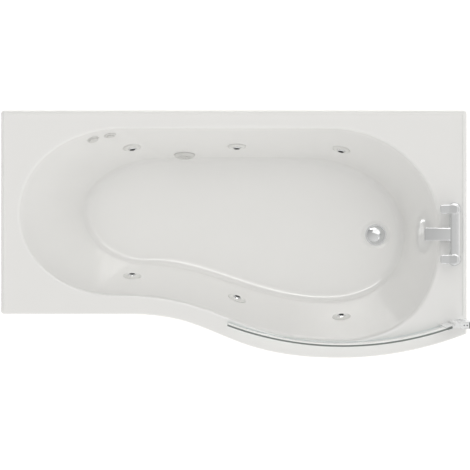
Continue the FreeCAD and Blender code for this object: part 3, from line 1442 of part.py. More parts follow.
def overflow_parts(shell, seat):
    """Slotted cover in the bath, head behind the wall, seals, and the pipe down to the waste."""
    face = SEAL + OVERFLOW_COVER
    under = face - OVERFLOW_SHEET
    inner_r = OVERFLOW_COVER_R - OVERFLOW_SHEET
    cover = revolve([
        (0, SEAL), (OVERFLOW_COVER_R, SEAL), (OVERFLOW_COVER_R, under), (inner_r, face), (0, face),
    ])
    cover = cover.cut(cylinder(inner_r, SEAL, under))
    slot = OVERFLOW_COVER_R * 2 / 3
    cover = cover.cut(block(-slot, slot, -OVERFLOW_COVER_R, -slot, SEAL, under))
    post = cylinder(OVERFLOW_POST_R, -OVERFLOW_SPIGOT_BACK / 2, under)
    cover = cover.fuse(post)
    back = -2 * SHELL_WALL
    head = cylinder(OVERFLOW_HEAD_R, -OVERFLOW_HEAD_BACK, back).fuse(cylinder(OVERFLOW_NECK_R, back, 0))
    head = head.cut(cylinder(OVERFLOW_BORE_R, -OVERFLOW_SPIGOT_BACK, 0))
    socket_front = -OVERFLOW_SPIGOT_BACK / 2
    head = head.fuse(ring(OVERFLOW_SOCKET_R, OVERFLOW_POST_R, -OVERFLOW_SPIGOT_BACK, socket_front))
    turn = along(seat, -OVERFLOW_SPIGOT_BACK)
    low = turn.z - OVERFLOW_SPIGOT
    high = turn.z - OVERFLOW_BORE_R / 2
    head = place(head, seat).fuse(cylinder(OVERFLOW_PIPE_R, low, high, turn.x, turn.y))
    bore_r = OVERFLOW_PIPE_R - 2 * OVERFLOW_PIPE_WALL
    head = head.removeSplitter().cut(cylinder(bore_r, low, high, turn.x, turn.y))
    spigot_z = waste_spigot_z()
    end = Vector(WASTE_X + WASTE_BODY_R + SIDE_SPIGOT, WASTE_Y, spigot_z)
    route = [level(turn, low), level(turn, spigot_z), end + Vector(OVERFLOW_LEAD, 0, 0), end]
    return {
        "overflow_cover": place(cover, seat),
        "overflow_head": head,
        "wall_seals": [
            front_seal(shell, seat, OVERFLOW_COVER_R, OVERFLOW_HOLE_R + SEAL_SET),
            back_seal(shell, seat, OVERFLOW_HEAD_R, OVERFLOW_HOLE_R),
        ],
        "overflow_pipe": swept_pipe(route, OVERFLOW_BEND, OVERFLOW_PIPE_R, OVERFLOW_PIPE_WALL),
    }


# Deck filler

def tap_ys():
    """The two tap holes' Y: hot on the wall side, cold on the front side."""
    return (TAP_CENTRES / 2, -TAP_CENTRES / 2)


def spout():
    """Flat spout, its top and underside falling in long arcs to a thin lip, with a slot in the underside."""
    top = RIM_HEIGHT + BAR_TOP - LEVER_EDGE
    root = TAP_X
    knee = TAP_X - SPOUT_FLAT
    tip = TAP_X - SPOUT_REACH
    tip_top = top - SPOUT_FALL
    tip_low = tip_top - SPOUT_LIP
    low = top - SPOUT_THICK

    def at(x, z):
        return Vector(x, -SPOUT_WIDTH / 2, z)

    def falling(z0, z1):
        middle_x = knee + (tip - knee) * math.sin(math.pi / 4)
        return at(middle_x, z1 + (z0 - z1) * math.cos(math.pi / 4))

    edges = [
        Part.makeLine(at(root, top), at(knee, top)),
        Part.Arc(at(knee, top), falling(top, tip_top), at(tip, tip_top)).toShape(),
        Part.makeLine(at(tip, tip_top), at(tip, tip_low)),
        Part.Arc(at(tip, tip_low), falling(low, tip_low), at(knee, low)).toShape(),
        Part.makeLine(at(knee, low), at(root, low)),
        Part.makeLine(at(root, low), at(root, top)),
    ]
    solid = Part.Face(Part.Wire(edges)).extrude(Vector(0, SPOUT_WIDTH, 0))
    half = SPOUT_WIDTH / 2 - 2 * LEVER_EDGE
    x0 = tip + SPOUT_SLOT_SET
    return solid.cut(block(x0, x0 + SPOUT_SLOT, -half, half, tip_low - SPOUT_LIP, tip_top - SPOUT_LIP / 2))


def tap_body():
    """One casting: two pillars, the bar between them and the spout."""
    bottom = RIM_HEIGHT + BASE_RING
    bar = block(
        TAP_X - BAR_WIDTH / 2, TAP_X + BAR_WIDTH / 2, -TAP_CENTRES / 2, TAP_CENTRES / 2,
        RIM_HEIGHT + BAR_BOTTOM, RIM_HEIGHT + BAR_TOP,
    )
    long_edges = [e for e in bar.Edges if e.BoundBox.YLength > BAR_WIDTH]
    bar = bar.makeFillet(BAR_ROUND, long_edges)
    pillars = [cylinder(PILLAR_R, bottom, RIM_HEIGHT + PILLAR_TOP, TAP_X, y) for y in tap_ys()]
    body = fuse([bar, spout()] + pillars)
    for y in tap_ys():
        high = RIM_HEIGHT + PILLAR_TOP
        body = body.cut(cylinder(CARTRIDGE_R, high - CARTRIDGE_DEEP, high, TAP_X, y))
    return body


def lever(y):
    """Flat lever over a pillar, pointing into the bath, with its spindle."""
    low = RIM_HEIGHT + PILLAR_TOP + COLLAR + LEVER_GAP
    high = low + LEVER_THICK
    half = LEVER_WIDTH / 2
    handle = block(TAP_X - LEVER_FRONT, TAP_X + LEVER_REAR, y - half, y + half, low, high)
    handle = handle.makeFillet(LEVER_ROUND, upright_edges(handle))
    handle = handle.makeFillet(LEVER_EDGE, flat_edges(handle, high))
    return handle.fuse(cylinder(SPINDLE_R, low - SPINDLE, low, TAP_X, y)).removeSplitter()


def cartridge(y):
    """Valve cartridge: a stem in the pillar and a collar over it, bored for the spindle."""
    high = RIM_HEIGHT + PILLAR_TOP
    body = fuse([
        cylinder(CARTRIDGE_R, high - CARTRIDGE_DEEP, high, TAP_X, y),
        cylinder(COLLAR_R, high, high + COLLAR, TAP_X, y),
    ])
    floor = high + COLLAR + LEVER_GAP - SPINDLE - RUN_GAP
    return body.cut(cylinder(SPINDLE_R + RUN_GAP, floor, high + COLLAR, TAP_X, y))


def base_ring(y):
    """Stepped ring under a pillar."""
    shape = revolve([
        (SHANK_R + RUN_GAP, 0), (BASE_RING_R, 0), (BASE_RING_R, BASE_RING / 2),
        (BASE_RING_R - BASE_RING_BEVEL, BASE_RING), (SHANK_R + RUN_GAP, BASE_RING),
    ])
    shape.translate(Vector(TAP_X, y, RIM_HEIGHT))
    return shape


def tap_parts():
    """Deck filler above the deck, and what holds it below."""
    washer_z = DECK_UNDER - TAP_WASHER
    nut_z = washer_z - TAP_NUT
    top = RIM_HEIGHT + BASE_RING
    bore_r = SHANK_R - TRAP_WALL
    shanks = []
    for y in tap_ys():
        shank = cylinder(SHANK_R, nut_z, top, TAP_X, y)
        tail = cylinder(TAIL_THREAD_R, nut_z - TAIL_THREAD, nut_z, TAP_X, y)
        shanks.append(fuse([shank, tail]).cut(cylinder(bore_r, nut_z - TAIL_THREAD, top, TAP_X, y)))
    washers = [ring(TAP_WASHER_R, SHANK_R + RUN_GAP, washer_z, DECK_UNDER, TAP_X, y) for y in tap_ys()]
    nuts = [hexagon(TAP_NUT_AF, nut_z, washer_z, TAP_X, y, SHANK_R) for y in tap_ys()]
    return {
        "tap_body": tap_body(),
        "tap_base_rings": [base_ring(y) for y in tap_ys()],
        "tap_cartridges": [cartridge(y) for y in tap_ys()],
        "hot_lever": lever(tap_ys()[0]),
        "cold_lever": lever(tap_ys()[1]),
        "tap_shanks": shanks + washers + nuts,
    }


# Screen

def glass_point(radius, angle, z):
    """A point on a circle about the screen's centre, by angle from straight front."""
    return Vector(GLASS_X + radius * math.sin(angle), GLASS_Y - radius * math.cos(angle), z)


def arc_band(thick, start, length, low, high):
    """A curved upright slab on the glass line, starting at a distance along it from the hinge axis."""
    inner = GLASS_RADIUS - thick / 2
    outer = GLASS_RADIUS + thick / 2
    first = HINGE_ANGLE - start / GLASS_RADIUS
    last = first - length / GLASS_RADIUS
    middle = (first + last) / 2
    near = [glass_point(inner, angle, low) for angle in (first, middle, last)]
    far = [glass_point(outer, angle, low) for angle in (last, middle, first)]
    edges = [
        Part.Arc(*near).toShape(),
        Part.makeLine(near[-1], far[0]),
        Part.Arc(*far).toShape(),
        Part.makeLine(far[-1], near[0]),
    ]
    return Part.Face(Part.Wire(edges)).extrude(Vector(0, 0, high - low))


def hinge_profile():
    """Fixed extrusion: an open knuckle, a web, and a block with two screw ports."""
    low = RIM_HEIGHT
    high = SCREEN_TOP
    outer = KNUCKLE_R + RUN_GAP + KNUCKLE_WALL
    knuckle = cylinder(outer, low, high, HINGE_X, HINGE_Y)
    x0 = HINGE_X + PROFILE_FROM_AXIS
    x1 = x0 + PROFILE_DEPTH
    half = PROFILE_WIDTH / 2
    web = block(HINGE_X, x0 + LAP, HINGE_Y - PROFILE_WEB / 2, HINGE_Y + PROFILE_WEB / 2, low, high)
    profile = fuse([knuckle, web, block(x0, x1, HINGE_Y - half, HINGE_Y + half, low, high)])
    profile = profile.cut(cylinder(KNUCKLE_R + RUN_GAP, low, high, HINGE_X, HINGE_Y))
    reach = 3 * outer
    fan = [(HINGE_X, HINGE_Y)]
    steps = 4
    for k in range(steps + 1):
        turn = math.radians(KNUCKLE_OPEN_FROM + (KNUCKLE_OPEN_TO - KNUCKLE_OPEN_FROM) * k / steps)
        fan.append((HINGE_X + reach * math.cos(turn), HINGE_Y + reach * math.sin(turn)))
    profile = profile.cut(prism(fan, low, high))
    for x in port_xs():
        profile = profile.cut(cylinder(PORT_R, low, high, x, HINGE_Y))
    return profile


def port_xs():
    """The two screw ports along the hinge profile."""
    middle = HINGE_X + PROFILE_FROM_AXIS + PROFILE_DEPTH / 2
    return (middle - PORT_PITCH / 2, middle + PORT_PITCH / 2)


def channel_hole_zs():
    """Heights of the wall channel's four screw holes."""
    middle = RIM_HEIGHT + SCREEN_HEIGHT / 2
    return [middle + CHANNEL_HOLE_PITCH * k for k in (-1.5, -0.5, 0.5, 1.5)]


def screen_parts():
    """Wall channel, hinge profile, strip and screws; and the glass, clamp and seals that swing."""
    low = RIM_HEIGHT
    half = CHANNEL_WIDTH / 2
    x0 = HALF_LENGTH - CHANNEL_DEPTH
    channel = block(x0, HALF_LENGTH, HINGE_Y - half, HINGE_Y + half, low, SCREEN_TOP)
    slot = half - CHANNEL_SHEET
    web_x = HALF_LENGTH - CHANNEL_SHEET
    channel = channel.cut(block(x0, web_x, HINGE_Y - slot, HINGE_Y + slot, low, SCREEN_TOP))
    for z in channel_hole_zs():
        spot = Vector(web_x, HINGE_Y, z)
        channel = channel.cut(Part.makeCylinder(CHANNEL_HOLE_R, CHANNEL_SHEET, spot, Vector(1, 0, 0)))
    profile = hinge_profile()
    profile_end = HINGE_X + PROFILE_FROM_AXIS + PROFILE_DEPTH
    strip_half = PROFILE_WIDTH / 2
    strip = block(profile_end, web_x, HINGE_Y - strip_half, HINGE_Y + strip_half, low, SCREEN_TOP)
    screws = []
    for k in range(SIDE_SCREWS):
        z = low + SCREEN_HEIGHT * (2 * k + 1) / (2 * SIDE_SCREWS)
        spot = Vector(sum(port_xs()) / 2, HINGE_Y + half, z)
        shank = Part.makeCylinder(SIDE_SCREW_R, half, spot, Vector(0, -1, 0))
        head = Part.makeCylinder(SIDE_SCREW_HEAD_R, SIDE_SCREW_HEAD, spot, Vector(0, 1, 0))
        screws.append(fuse([shank, head]))
        channel = channel.cut(shank)
        profile = profile.cut(shank)
    clamp_low = low + BUSH + RUN_GAP
    gasket_width = GLASS + 2 * GASKET
    jaw_end = JAW_FROM_AXIS + JAW_DEPTH
    slot_start = JAW_FROM_AXIS + JAW_FLOOR
    clamp = fuse([
        cylinder(KNUCKLE_R, clamp_low, SCREEN_TOP, HINGE_X, HINGE_Y),
        arc_band(NECK, 0, JAW_FROM_AXIS + LAP, clamp_low, SCREEN_TOP),
        arc_band(JAW_WIDTH, JAW_FROM_AXIS, JAW_DEPTH, clamp_low, SCREEN_TOP),
    ])
    groove_low = low + GLASS_ABOVE_DECK - GASKET
    clamp = clamp.cut(arc_band(gasket_width, slot_start, JAW_DEPTH, groove_low, SCREEN_TOP))
    glass_start = slot_start + GASKET
    glass_low = low + GLASS_ABOVE_DECK
    glass = arc_band(GLASS, glass_start, GLASS_WIDTH, glass_low, SCREEN_TOP)
    room = arc_band(GLASS + 2 * RUN_GAP, glass_start, GLASS_WIDTH, glass_low, SCREEN_TOP)
    gasket = arc_band(gasket_width, slot_start, jaw_end - slot_start, groove_low, SCREEN_TOP).cut(room)
    seal_start = jaw_end + RUN_GAP
    seal_length = glass_start + GLASS_WIDTH - seal_start
    seal_low = glass_low - SEAL_GRIP / 2
    seal = arc_band(SEAL_WIDTH, seal_start, seal_length, seal_low, glass_low + SEAL_GRIP).cut(room)
    fin = arc_band(SEAL_FIN, seal_start, seal_length, low + DECK_GAP, seal_low)
    return {
        "wall_channel": channel,
        "hinge_profile": profile,
        "channel_strip": strip,
        "frame_screws": screws,
        "pivot_bush": cylinder(KNUCKLE_R, low, low + BUSH, HINGE_X, HINGE_Y),
        "glass_panel": glass,
        "glass_clamp": clamp,
        "screen_seals": [gasket, fuse([seal, fin])],
    }


def bowl_void():
    """The space inside the bowl."""
    return bowl_solid(FLOOR_Z, RIM_HEIGHT + 3 * MOUTH_ROUND, 0.0, COVE_ROUND)


def build():
    """Every node of the bath by name; a list is a group of separate solids."""
    void = bowl_void()
    seats = wall_seats(void)
    guides = guide_seats(void)
    shell = plain_shell(void)
    parts = {"bath_shell": drilled_shell(shell, seats)}
    for group in (
        frame_parts(),
        rim_parts(),
        jet_parts(shell, seats),
        suction_parts(shell, seats["suction"]),
        control_parts(shell, seats),
        water_parts(seats | guides),
        air_parts(seats | guides),
        pump_parts(),
        waste_parts(),
        overflow_parts(shell, seats["overflow"]),
        tap_parts(),
        screen_parts(),
    ):
        for name, shape in group.items():
            parts[name] = parts[name] + shape if name in parts else shape
    return parts


def main():
    """Write one STEP file for each node."""
    os.makedirs("parts", exist_ok=True)
    for name, shape in build().items():
        if isinstance(shape, list):
            shape = Part.makeCompound(shape)
        shape.exportStep(f"parts/{name}.step")


if __name__ == "__main__":
    main()
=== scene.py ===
"""Looks of the jetted shower bath: acrylic moulding, jets and controls, deck filler and curved glass screen.

Lengths in the classes are millimetres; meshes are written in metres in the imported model's own frame.
"""

import json
import logging
import math
from dataclasses import dataclass
from enum import Enum
from typing import Any, Iterator, Sequence

import bmesh
import bpy
import numpy as np
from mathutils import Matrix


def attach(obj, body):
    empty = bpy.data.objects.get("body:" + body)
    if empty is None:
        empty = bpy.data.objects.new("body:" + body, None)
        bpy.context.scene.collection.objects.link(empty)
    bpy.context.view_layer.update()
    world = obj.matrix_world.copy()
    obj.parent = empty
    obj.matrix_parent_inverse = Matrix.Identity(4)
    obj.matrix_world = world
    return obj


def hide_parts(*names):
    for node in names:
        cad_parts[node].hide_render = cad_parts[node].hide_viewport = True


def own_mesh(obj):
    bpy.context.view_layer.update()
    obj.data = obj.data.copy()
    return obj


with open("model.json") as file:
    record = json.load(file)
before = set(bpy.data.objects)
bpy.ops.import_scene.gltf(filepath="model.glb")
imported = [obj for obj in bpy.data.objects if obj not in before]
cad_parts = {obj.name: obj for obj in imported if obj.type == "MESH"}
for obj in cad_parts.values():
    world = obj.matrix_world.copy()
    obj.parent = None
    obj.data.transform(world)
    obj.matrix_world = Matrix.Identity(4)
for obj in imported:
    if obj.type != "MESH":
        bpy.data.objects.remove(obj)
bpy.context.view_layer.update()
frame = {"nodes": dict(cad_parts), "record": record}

MM = 0.001
# Points nearer than the first become one and edges shorter than the second go, in metres
MERGE, SLIVER = 1e-6, 1e-7
LOG = logging.getLogger("shower_bath")
SLOT_OF = {row["node"]: row["material_slot"] for row in frame["record"]["subparts"]}
BODY_OF = {node: body for body, nodes in frame["record"]["behaviour"]["bodies"].items() for node in nodes}
# Nodes that a piece already stands for
DRESSED: set[str] = set()


# Colour and shader nodes


def linear(hex_colour: str) -> tuple[float, float, float, float]:
    """Turns an sRGB hex colour into linear light.

    Args:
        hex_colour: Colour as "#RRGGBB".

    Returns:
        Red, green, blue and an alpha of one.
    """
    shares = np.array([int(hex_colour[i : i + 2], 16) for i in (1, 3, 5)]) / 255
    light = np.where(shares <= 0.04045, shares / 12.92, ((shares + 0.055) / 1.055) ** 2.4)
    return (*light.tolist(), 1.0)


def add_node(
    tree: bpy.types.NodeTree,
    kind: str,
    values: dict[str | int, Any] | None = None,
    links: dict[str | int, bpy.types.NodeSocket] | None = None,
    **settings: Any,
) -> bpy.types.Node:
    """Adds a node with its settings, socket values and incoming links.

    Args:
        tree: Node tree that gets the node.
        kind: Blender's name of the node's type.
        values: Socket values by the input's name or number.
        links: Sockets of other nodes by the name or number of the input they feed.
        **settings: Properties of the node itself.

    Returns:
        The new node.
    """
    node = tree.nodes.new(kind)
    for name, value in settings.items():
        setattr(node, name, value)
    for name, value in (values or {}).items():
        node.inputs[name].default_value = value
    for name, socket in (links or {}).items():
        tree.links.new(socket, node.inputs[name])
    return node


class Grain(Enum):
    """How a surface pattern is drawn: soft clouds, random cells, or bands."""

    CLOUD = ("ShaderNodeTexNoise", "Fac")
    CELL = ("ShaderNodeTexVoronoi", "Color")
    BAND = ("ShaderNodeTexWave", "Fac")


@dataclass(frozen=True)
class Pattern:
    """A pattern on a surface, by the size of one feature along X, Y and Z in millimetres."""

    grain: Grain
    size: tuple[float, float, float]
    detail: float = 2.0
    distortion: float = 0.0

    def draw(self, tree: bpy.types.NodeTree, place: bpy.types.NodeSocket) -> bpy.types.NodeSocket:
        """Adds the pattern's nodes.

        Args:
            tree: Material tree.
            place: Object coordinates in metres.

        Returns:
            A socket with the pattern from nought to one.
        """
        kind, output = self.grain.value
        scale = tuple(1.0 / (size * MM) for size in self.size)
        mapping = add_node(tree, "ShaderNodeMapping", {"Scale": scale}, {"Vector": place})
        values: dict[str, Any] = {"Scale": 1.0}
        if self.grain is not Grain.CELL:
            values |= {"Detail": self.detail, "Distortion": self.distortion}
        return add_node(tree, kind, values, {"Vector": mapping.outputs["Vector"]}).outputs[output]


def cloud(size: float, detail: float = 2.0) -> Pattern:
    """Soft clouds of one size every way."""
    return Pattern(Grain.CLOUD, (size, size, size), detail)


@dataclass(frozen=True)
class Finish:
    """A real material and how its surface was made."""

    name: str
    colour: str
    second: str
    rough: tuple[float, float]
    tone: Pattern
    relief: Pattern | None = None
    depth: float = 0.0
    metallic: float = 0.0
    ior: float = 1.5
    clear: float = 0.0
    coat: float = 0.0

    def material(self) -> bpy.types.Material:
        """Builds the material once and returns it from then on."""
        made = bpy.data.materials.get(self.name)
        return made if made is not None else self._build()

    def _build(self) -> bpy.types.Material:
        """Mixes two near colours, varies the gloss and raises the grain by its real depth.

        Returns:
            The new material.
        """
        material = bpy.data.materials.new(self.name)
        material.use_nodes = True
        material.diffuse_color = linear(self.colour)
        tree = material.node_tree
        tree.nodes.clear()
        place = add_node(tree, "ShaderNodeTexCoord").outputs["Object"]
        tone = self.tone.draw(tree, place)
        colours = {"Color1": linear(self.colour), "Color2": linear(self.second)}
        mix = add_node(tree, "ShaderNodeMixRGB", colours, {"Fac": tone})
        span = {"To Min": self.rough[0], "To Max": self.rough[1]}
        gloss = add_node(tree, "ShaderNodeMapRange", span, {"Value": tone})
        links = {"Base Color": mix.outputs["Color"], "Roughness": gloss.outputs["Result"]}
        if self.relief is not None:
            height = self.relief.draw(tree, place)
            bump = add_node(tree, "ShaderNodeBump", {"Distance": self.depth * MM}, {"Height": height})
            links["Normal"] = bump.outputs["Normal"]
        values = {
            "Metallic": self.metallic,
            "IOR": self.ior,
            "Transmission Weight": self.clear,
            "Coat Weight": self.coat,
        }
        shader = add_node(tree, "ShaderNodeBsdfPrincipled", values, links)
        add_node(tree, "ShaderNodeOutputMaterial", links={"Surface": shader.outputs["BSDF"]})
        return material


# Vacuum-formed cast acrylic: deep gloss with the faint slow ripple of a drawn sheet
ACRYLIC = Finish(
    "cast_acrylic_white", "#FBFBFA", "#F9F9F8", (0.05, 0.08), cloud(140), cloud(90, 1.0), 0.25,
    ior=1.49, coat=0.5,
)
# Sprayed polyester and chopped strands on the back of the sheet: matt, lumpy, fibres drawn 9 mm long to show
FIBRE_BACK = Finish(
    "chopped_strand_backing", "#DAD5C6", "#C3BCA8", (0.55, 0.8), Pattern(Grain.CLOUD, (9, 4, 9), 4.0, 2.5),
    Pattern(Grain.CLOUD, (7, 3, 7), 5.0, 3.0), 1.4, ior=1.55,
)
# Pressed chipboard: straw and brown flakes about 4 mm long, matt
CHIPBOARD = Finish(
    "pressed_chipboard", "#C9A878", "#94704A", (0.7, 0.85), Pattern(Grain.CELL, (5, 3, 2)),
    Pattern(Grain.CELL, (5, 3, 2)), 0.3,
)
# Planed softwood: bands of growth rings across, stretched along the batten
SOFTWOOD = Finish(
    "planed_softwood", "#D8B98A", "#B98D5A", (0.55, 0.7), Pattern(Grain.BAND, (420, 60, 26), 3.0, 4.0),
    Pattern(Grain.CLOUD, (60, 4, 3), 3.0), 0.15,
)
# Bright zinc on pressed steel: small crystals that break up the shine
ZINC = Finish(
    "zinc_plated_steel", "#C3C6C8", "#A9ADB1", (0.28, 0.42), Pattern(Grain.CELL, (7, 7, 7)), cloud(3), 0.03,
    metallic=1.0,
)
# Injection moulded polypropylene with spark texture, grain drawn at 1.2 mm to show
BLACK_PP = Finish(
    "moulded_polypropylene_black", "#1F2022", "#2A2B2D", (0.42, 0.58), cloud(30), cloud(1.2, 1.0), 0.06,
)
# Moulded rubber: dull, dusty bloom
RUBBER = Finish("moulded_rubber", "#161617", "#222223", (0.7, 0.85), cloud(12, 3.0), cloud(0.8, 1.0), 0.04)
# Polished ABS mouldings in the wet side: white, glossy, slightly greyer than the bath
WHITE_ABS = Finish(
    "polished_abs_white", "#F0F0EE", "#ECECEA", (0.16, 0.24), cloud(25), cloud(6, 1.0), 0.03, ior=1.54,
)
# Grey-white ABS of the suction cover and controls, which read a little darker than the bath
PALE_ABS = Finish(
    "polished_abs_pale_grey", "#E4E4E2", "#DEDEDC", (0.2, 0.28), cloud(25), cloud(6, 1.0), 0.03, ior=1.54,
)
# Extruded PVC pipe: satin with faint flow marks
PVC = Finish(
    "extruded_pvc_white", "#DCDCD8", "#D0D0CB", (0.32, 0.42), cloud(40, 3.0), cloud(2, 1.0), 0.03, ior=1.54,
)
# Moulded polypropylene of the waste and trap: satin off-white with a fine grain
PALE_PP = Finish(
    "moulded_polypropylene_white", "#D5D5D2", "#C8C8C5", (0.38, 0.5), cloud(35), cloud(1.5, 1.0), 0.04,
)
# Bright chrome on polished brass: mirror with a trace of handling haze
CHROME = Finish(
    "bright_chrome_plate", "#E1E2E3", "#DADCDE", (0.05, 0.1), cloud(35, 3.0), cloud(18, 1.0), 0.01,
    metallic=1.0,
)
# Turned brass: lathe lines round the axis
BRASS = Finish(
    "turned_brass", "#C9A44E", "#B38B3B", (0.25, 0.38), Pattern(Grain.CLOUD, (30, 30, 1.5), 3.0),
    Pattern(Grain.CLOUD, (20, 20, 0.8), 1.0), 0.03, metallic=1.0,
)
# Stove enamel over a die-cast case: satin with cast grain
MOTOR_PAINT = Finish(
    "stove_enamel_grey", "#5B6064", "#666B6F", (0.35, 0.5), cloud(20, 3.0), cloud(2.5), 0.12, coat=0.2,
)
# Ground steel of the shaft, fan and impeller: grinding lines round the axis
STEEL = Finish(
    "ground_steel", "#B4B5B6", "#9C9D9F", (0.25, 0.38), Pattern(Grain.CLOUD, (30, 1.5, 30), 3.0),
    Pattern(Grain.CLOUD, (20, 0.8, 20), 1.0), 0.02, metallic=1.0,
)
# Bright anodised extrusion: die lines run up the section
ANODISED = Finish(
    "anodised_aluminium", "#CFD1D3", "#C2C4C7", (0.2, 0.3), Pattern(Grain.CLOUD, (2, 2, 400)),
    Pattern(Grain.CLOUD, (1, 1, 300), 1.0), 0.015, metallic=1.0,
)
# Toughened float glass: faintly green through its thickness
GLASS = Finish("toughened_glass", "#EAF2EE", "#E6EFEB", (0.0, 0.01), cloud(400), ior=1.52, clear=1.0)
# Ground and polished edge of the sheet: the glass's own green tint, darkened as painted shade for the depth of
# glass seen below it
GLASS_EDGE_SHADE = Finish("glass_edge_painted_shade", "#848A88", "#7A807E", (0.18, 0.28), cloud(30), ior=1.52)
# Clear flexible extrusion: milky where light passes through it
CLEAR_PVC = Finish("clear_pvc_seal", "#E6EAEA", "#DEE3E3", (0.3, 0.4), cloud(20), ior=1.54, clear=0.6)
SLOT_FINISH = {
    "timber_board": CHIPBOARD,
    "zinc_steel": ZINC,
    "black_plastic": BLACK_PP,
    "black_rubber": RUBBER,
    "white_plastic": WHITE_ABS,
    "white_pvc": PVC,
    "clear_pvc": CLEAR_PVC,
    "grey_pp": PALE_PP,
    "chrome": CHROME,
    "brass": BRASS,
    "motor_paint": MOTOR_PAINT,
    "rotor_steel": STEEL,
    "anodised_aluminium": ANODISED,
}
NODE_FINISH = {"rim_battens": SOFTWOOD, "air_control_body": PALE_ABS, "button_body": PALE_ABS}


# Surfaces


@dataclass
class Patch:
    """A grid of points in millimetres, closed or open each way, with a material number for each column."""

    points: np.ndarray
    wrap_rows: bool = True
    wrap_columns: bool = False
    capped: bool = False
    slots: np.ndarray | None = None
    cap_slot: int = 0

    def faces(self, start: int) -> np.ndarray:
        """Joins neighbouring points into quads.

        Args:
            start: Number of the grid's first point.

        Returns:
            Four corner numbers for each quad.
        """
        rows, columns = self.points.shape[:2]
        number = start + np.arange(rows * columns).reshape(rows, columns)
        if self.wrap_rows:
            number = np.concatenate([number, number[:1]])
        if self.wrap_columns:
            number = np.concatenate([number, number[:, :1]], axis=1)
        corners = (number[:-1, :-1], number[1:, :-1], number[1:, 1:], number[:-1, 1:])
        return np.stack(corners, axis=-1).reshape(-1, 4)

    def face_slots(self) -> np.ndarray:
        """Gives each quad its column's material number.

        Returns:
            One number for each quad, in the order of faces.
        """
        rows, columns = self.points.shape[:2]
        bands = columns if self.wrap_columns else columns - 1
        lines = rows if self.wrap_rows else rows - 1
        slots = np.zeros(bands, int) if self.slots is None else self.slots[:bands]
        return np.tile(slots, lines)


@dataclass(frozen=True)
class Seat:
    """A place on a wall: origin, two directions on the wall, and the direction into the bath."""

    origin: np.ndarray
    across: np.ndarray
    up: np.ndarray
    inward: np.ndarray

    def carry(self, local: np.ndarray) -> np.ndarray:
        """Moves points drawn about the seat to their place: origin + x across + y up + z inward."""
        return self.origin + local @ np.stack([self.across, self.up, self.inward])


def upright(x: float, y: float, z: float = 0.0) -> Seat:
    """A seat on a level face, looking up."""
    return Seat(np.array([x, y, z]), *np.eye(3))


def box(x: tuple[float, float], y: tuple[float, float]) -> list[tuple[float, float]]:
    """Corners of a rectangle: along its first y, then back along its second."""
    return [(x[0], y[0]), (x[1], y[0]), (x[1], y[1]), (x[0], y[1])]


def between(start: np.ndarray, end: np.ndarray, shares: Sequence[float]) -> list[np.ndarray]:
    """Columns at shares of the way from one column to another."""
    return [start + share * (end - start) for share in shares]


def unit(rows: np.ndarray) -> np.ndarray:
    """Vectors brought to a length of one."""
    return rows / np.linalg.norm(rows, axis=-1, keepdims=True)


def bezier(edges: np.ndarray, u: np.ndarray) -> np.ndarray:
    """Points on Bezier edges: B(t) = (1-t)^3 a + 3t(1-t)^2 b + 3t^2(1-t) c + t^3 d.

    Args:
        edges: Control points a, b, c and d of each edge.
        u: Edge number plus t, for each point.

    Returns:
        The points in plan.
    """
    number = np.minimum(u.astype(int), len(edges) - 1)
    t = (u - number)[:, None]
    a, b, c, d = np.moveaxis(edges[number], 1, 0)
    return (1 - t) ** 3 * a + 3 * t * (1 - t) ** 2 * b + 3 * t**2 * (1 - t) * c + t**3 * d


def rounded(
    corners: Sequence[tuple[float, float]], reach: float, steps: int = 4, closed: bool = False,
) -> np.ndarray:
    """Rounds an outline's corners.

    A corner C becomes the curve (1-t)^2 A + 2t(1-t) C + t^2 B, with A and B on its two sides at the reach.

    Args:
        corners: Corners of the outline.
        reach: How far from a corner its rounding begins, kept below half of a side.
        steps: Pieces in each rounding.
        closed: Whether the last corner joins the first.

    Returns:
        Points of the rounded outline.
    """
    side_share, same_point = 0.45, 1e-9
    corner = np.asarray(corners, float)
    back = np.roll(corner, 1, axis=0) - corner
    ahead = np.roll(corner, -1, axis=0) - corner
    shorter = np.minimum(*(np.linalg.norm(side, axis=1, keepdims=True) for side in (back, ahead)))
    trim = np.minimum(reach, side_share * shorter)
    if not closed:
        trim[[0, -1]] = 0.0
    first, last = corner + unit(back) * trim, corner + unit(ahead) * trim
    t = np.linspace(0, 1, steps + 1)[None, :, None]
    curve = (1 - t) ** 2 * first[:, None] + 2 * t * (1 - t) * corner[:, None] + t**2 * last[:, None]
    points = curve.reshape(-1, 2)
    apart = np.linalg.norm(np.diff(points, axis=0), axis=1) > same_point
    return points[np.concatenate([[True], apart])]


def round_angles(steps: int) -> np.ndarray:
    """Even angles round an axis, as a column."""
    return np.linspace(0, 2 * np.pi, steps, endpoint=False)[:, None]


def spun(radius: np.ndarray, angle: np.ndarray, height: np.ndarray) -> np.ndarray:
    """Points (r cos a, r sin a, z) about an axis; a radius or height given once holds at every angle."""
    return np.stack(np.broadcast_arrays(radius * np.cos(angle), radius * np.sin(angle), height), -1)


def lathe(profile: np.ndarray, seat: Seat, steps: int = 96, closed: bool = False) -> Patch:
    """Turns a profile about a seat's axis: P(a, i) = (r_i cos a, r_i sin a, z_i) carried to the seat.

    Args:
        profile: Rows of radius and height.
        seat: Axis and place.
        steps: Pieces round the axis.
        closed: Whether the profile's end joins its start.

    Returns:
        The turned surface.
    """
    return Patch(seat.carry(spun(profile[:, 0], round_angles(steps), profile[:, 1])), wrap_columns=closed)


def carried(section: np.ndarray, centres: np.ndarray, sides: np.ndarray, ups: np.ndarray) -> Patch:
    """Carries a closed section along a path: P(i, j) = centre_i + x_j side_i + y_j up_i, with flat ends.

    Args:
        section: Rows of x and y.
        centres: Points of the path.
        sides: Direction of the section's x at each point.
        ups: Direction of the section's y at each point.

    Returns:
        The carried surface.
    """
    x, y = section[None, :, :1], section[None, :, 1:]
    return Patch(centres[:, None] + x * sides[:, None] + y * ups[:, None], False, True, capped=True)


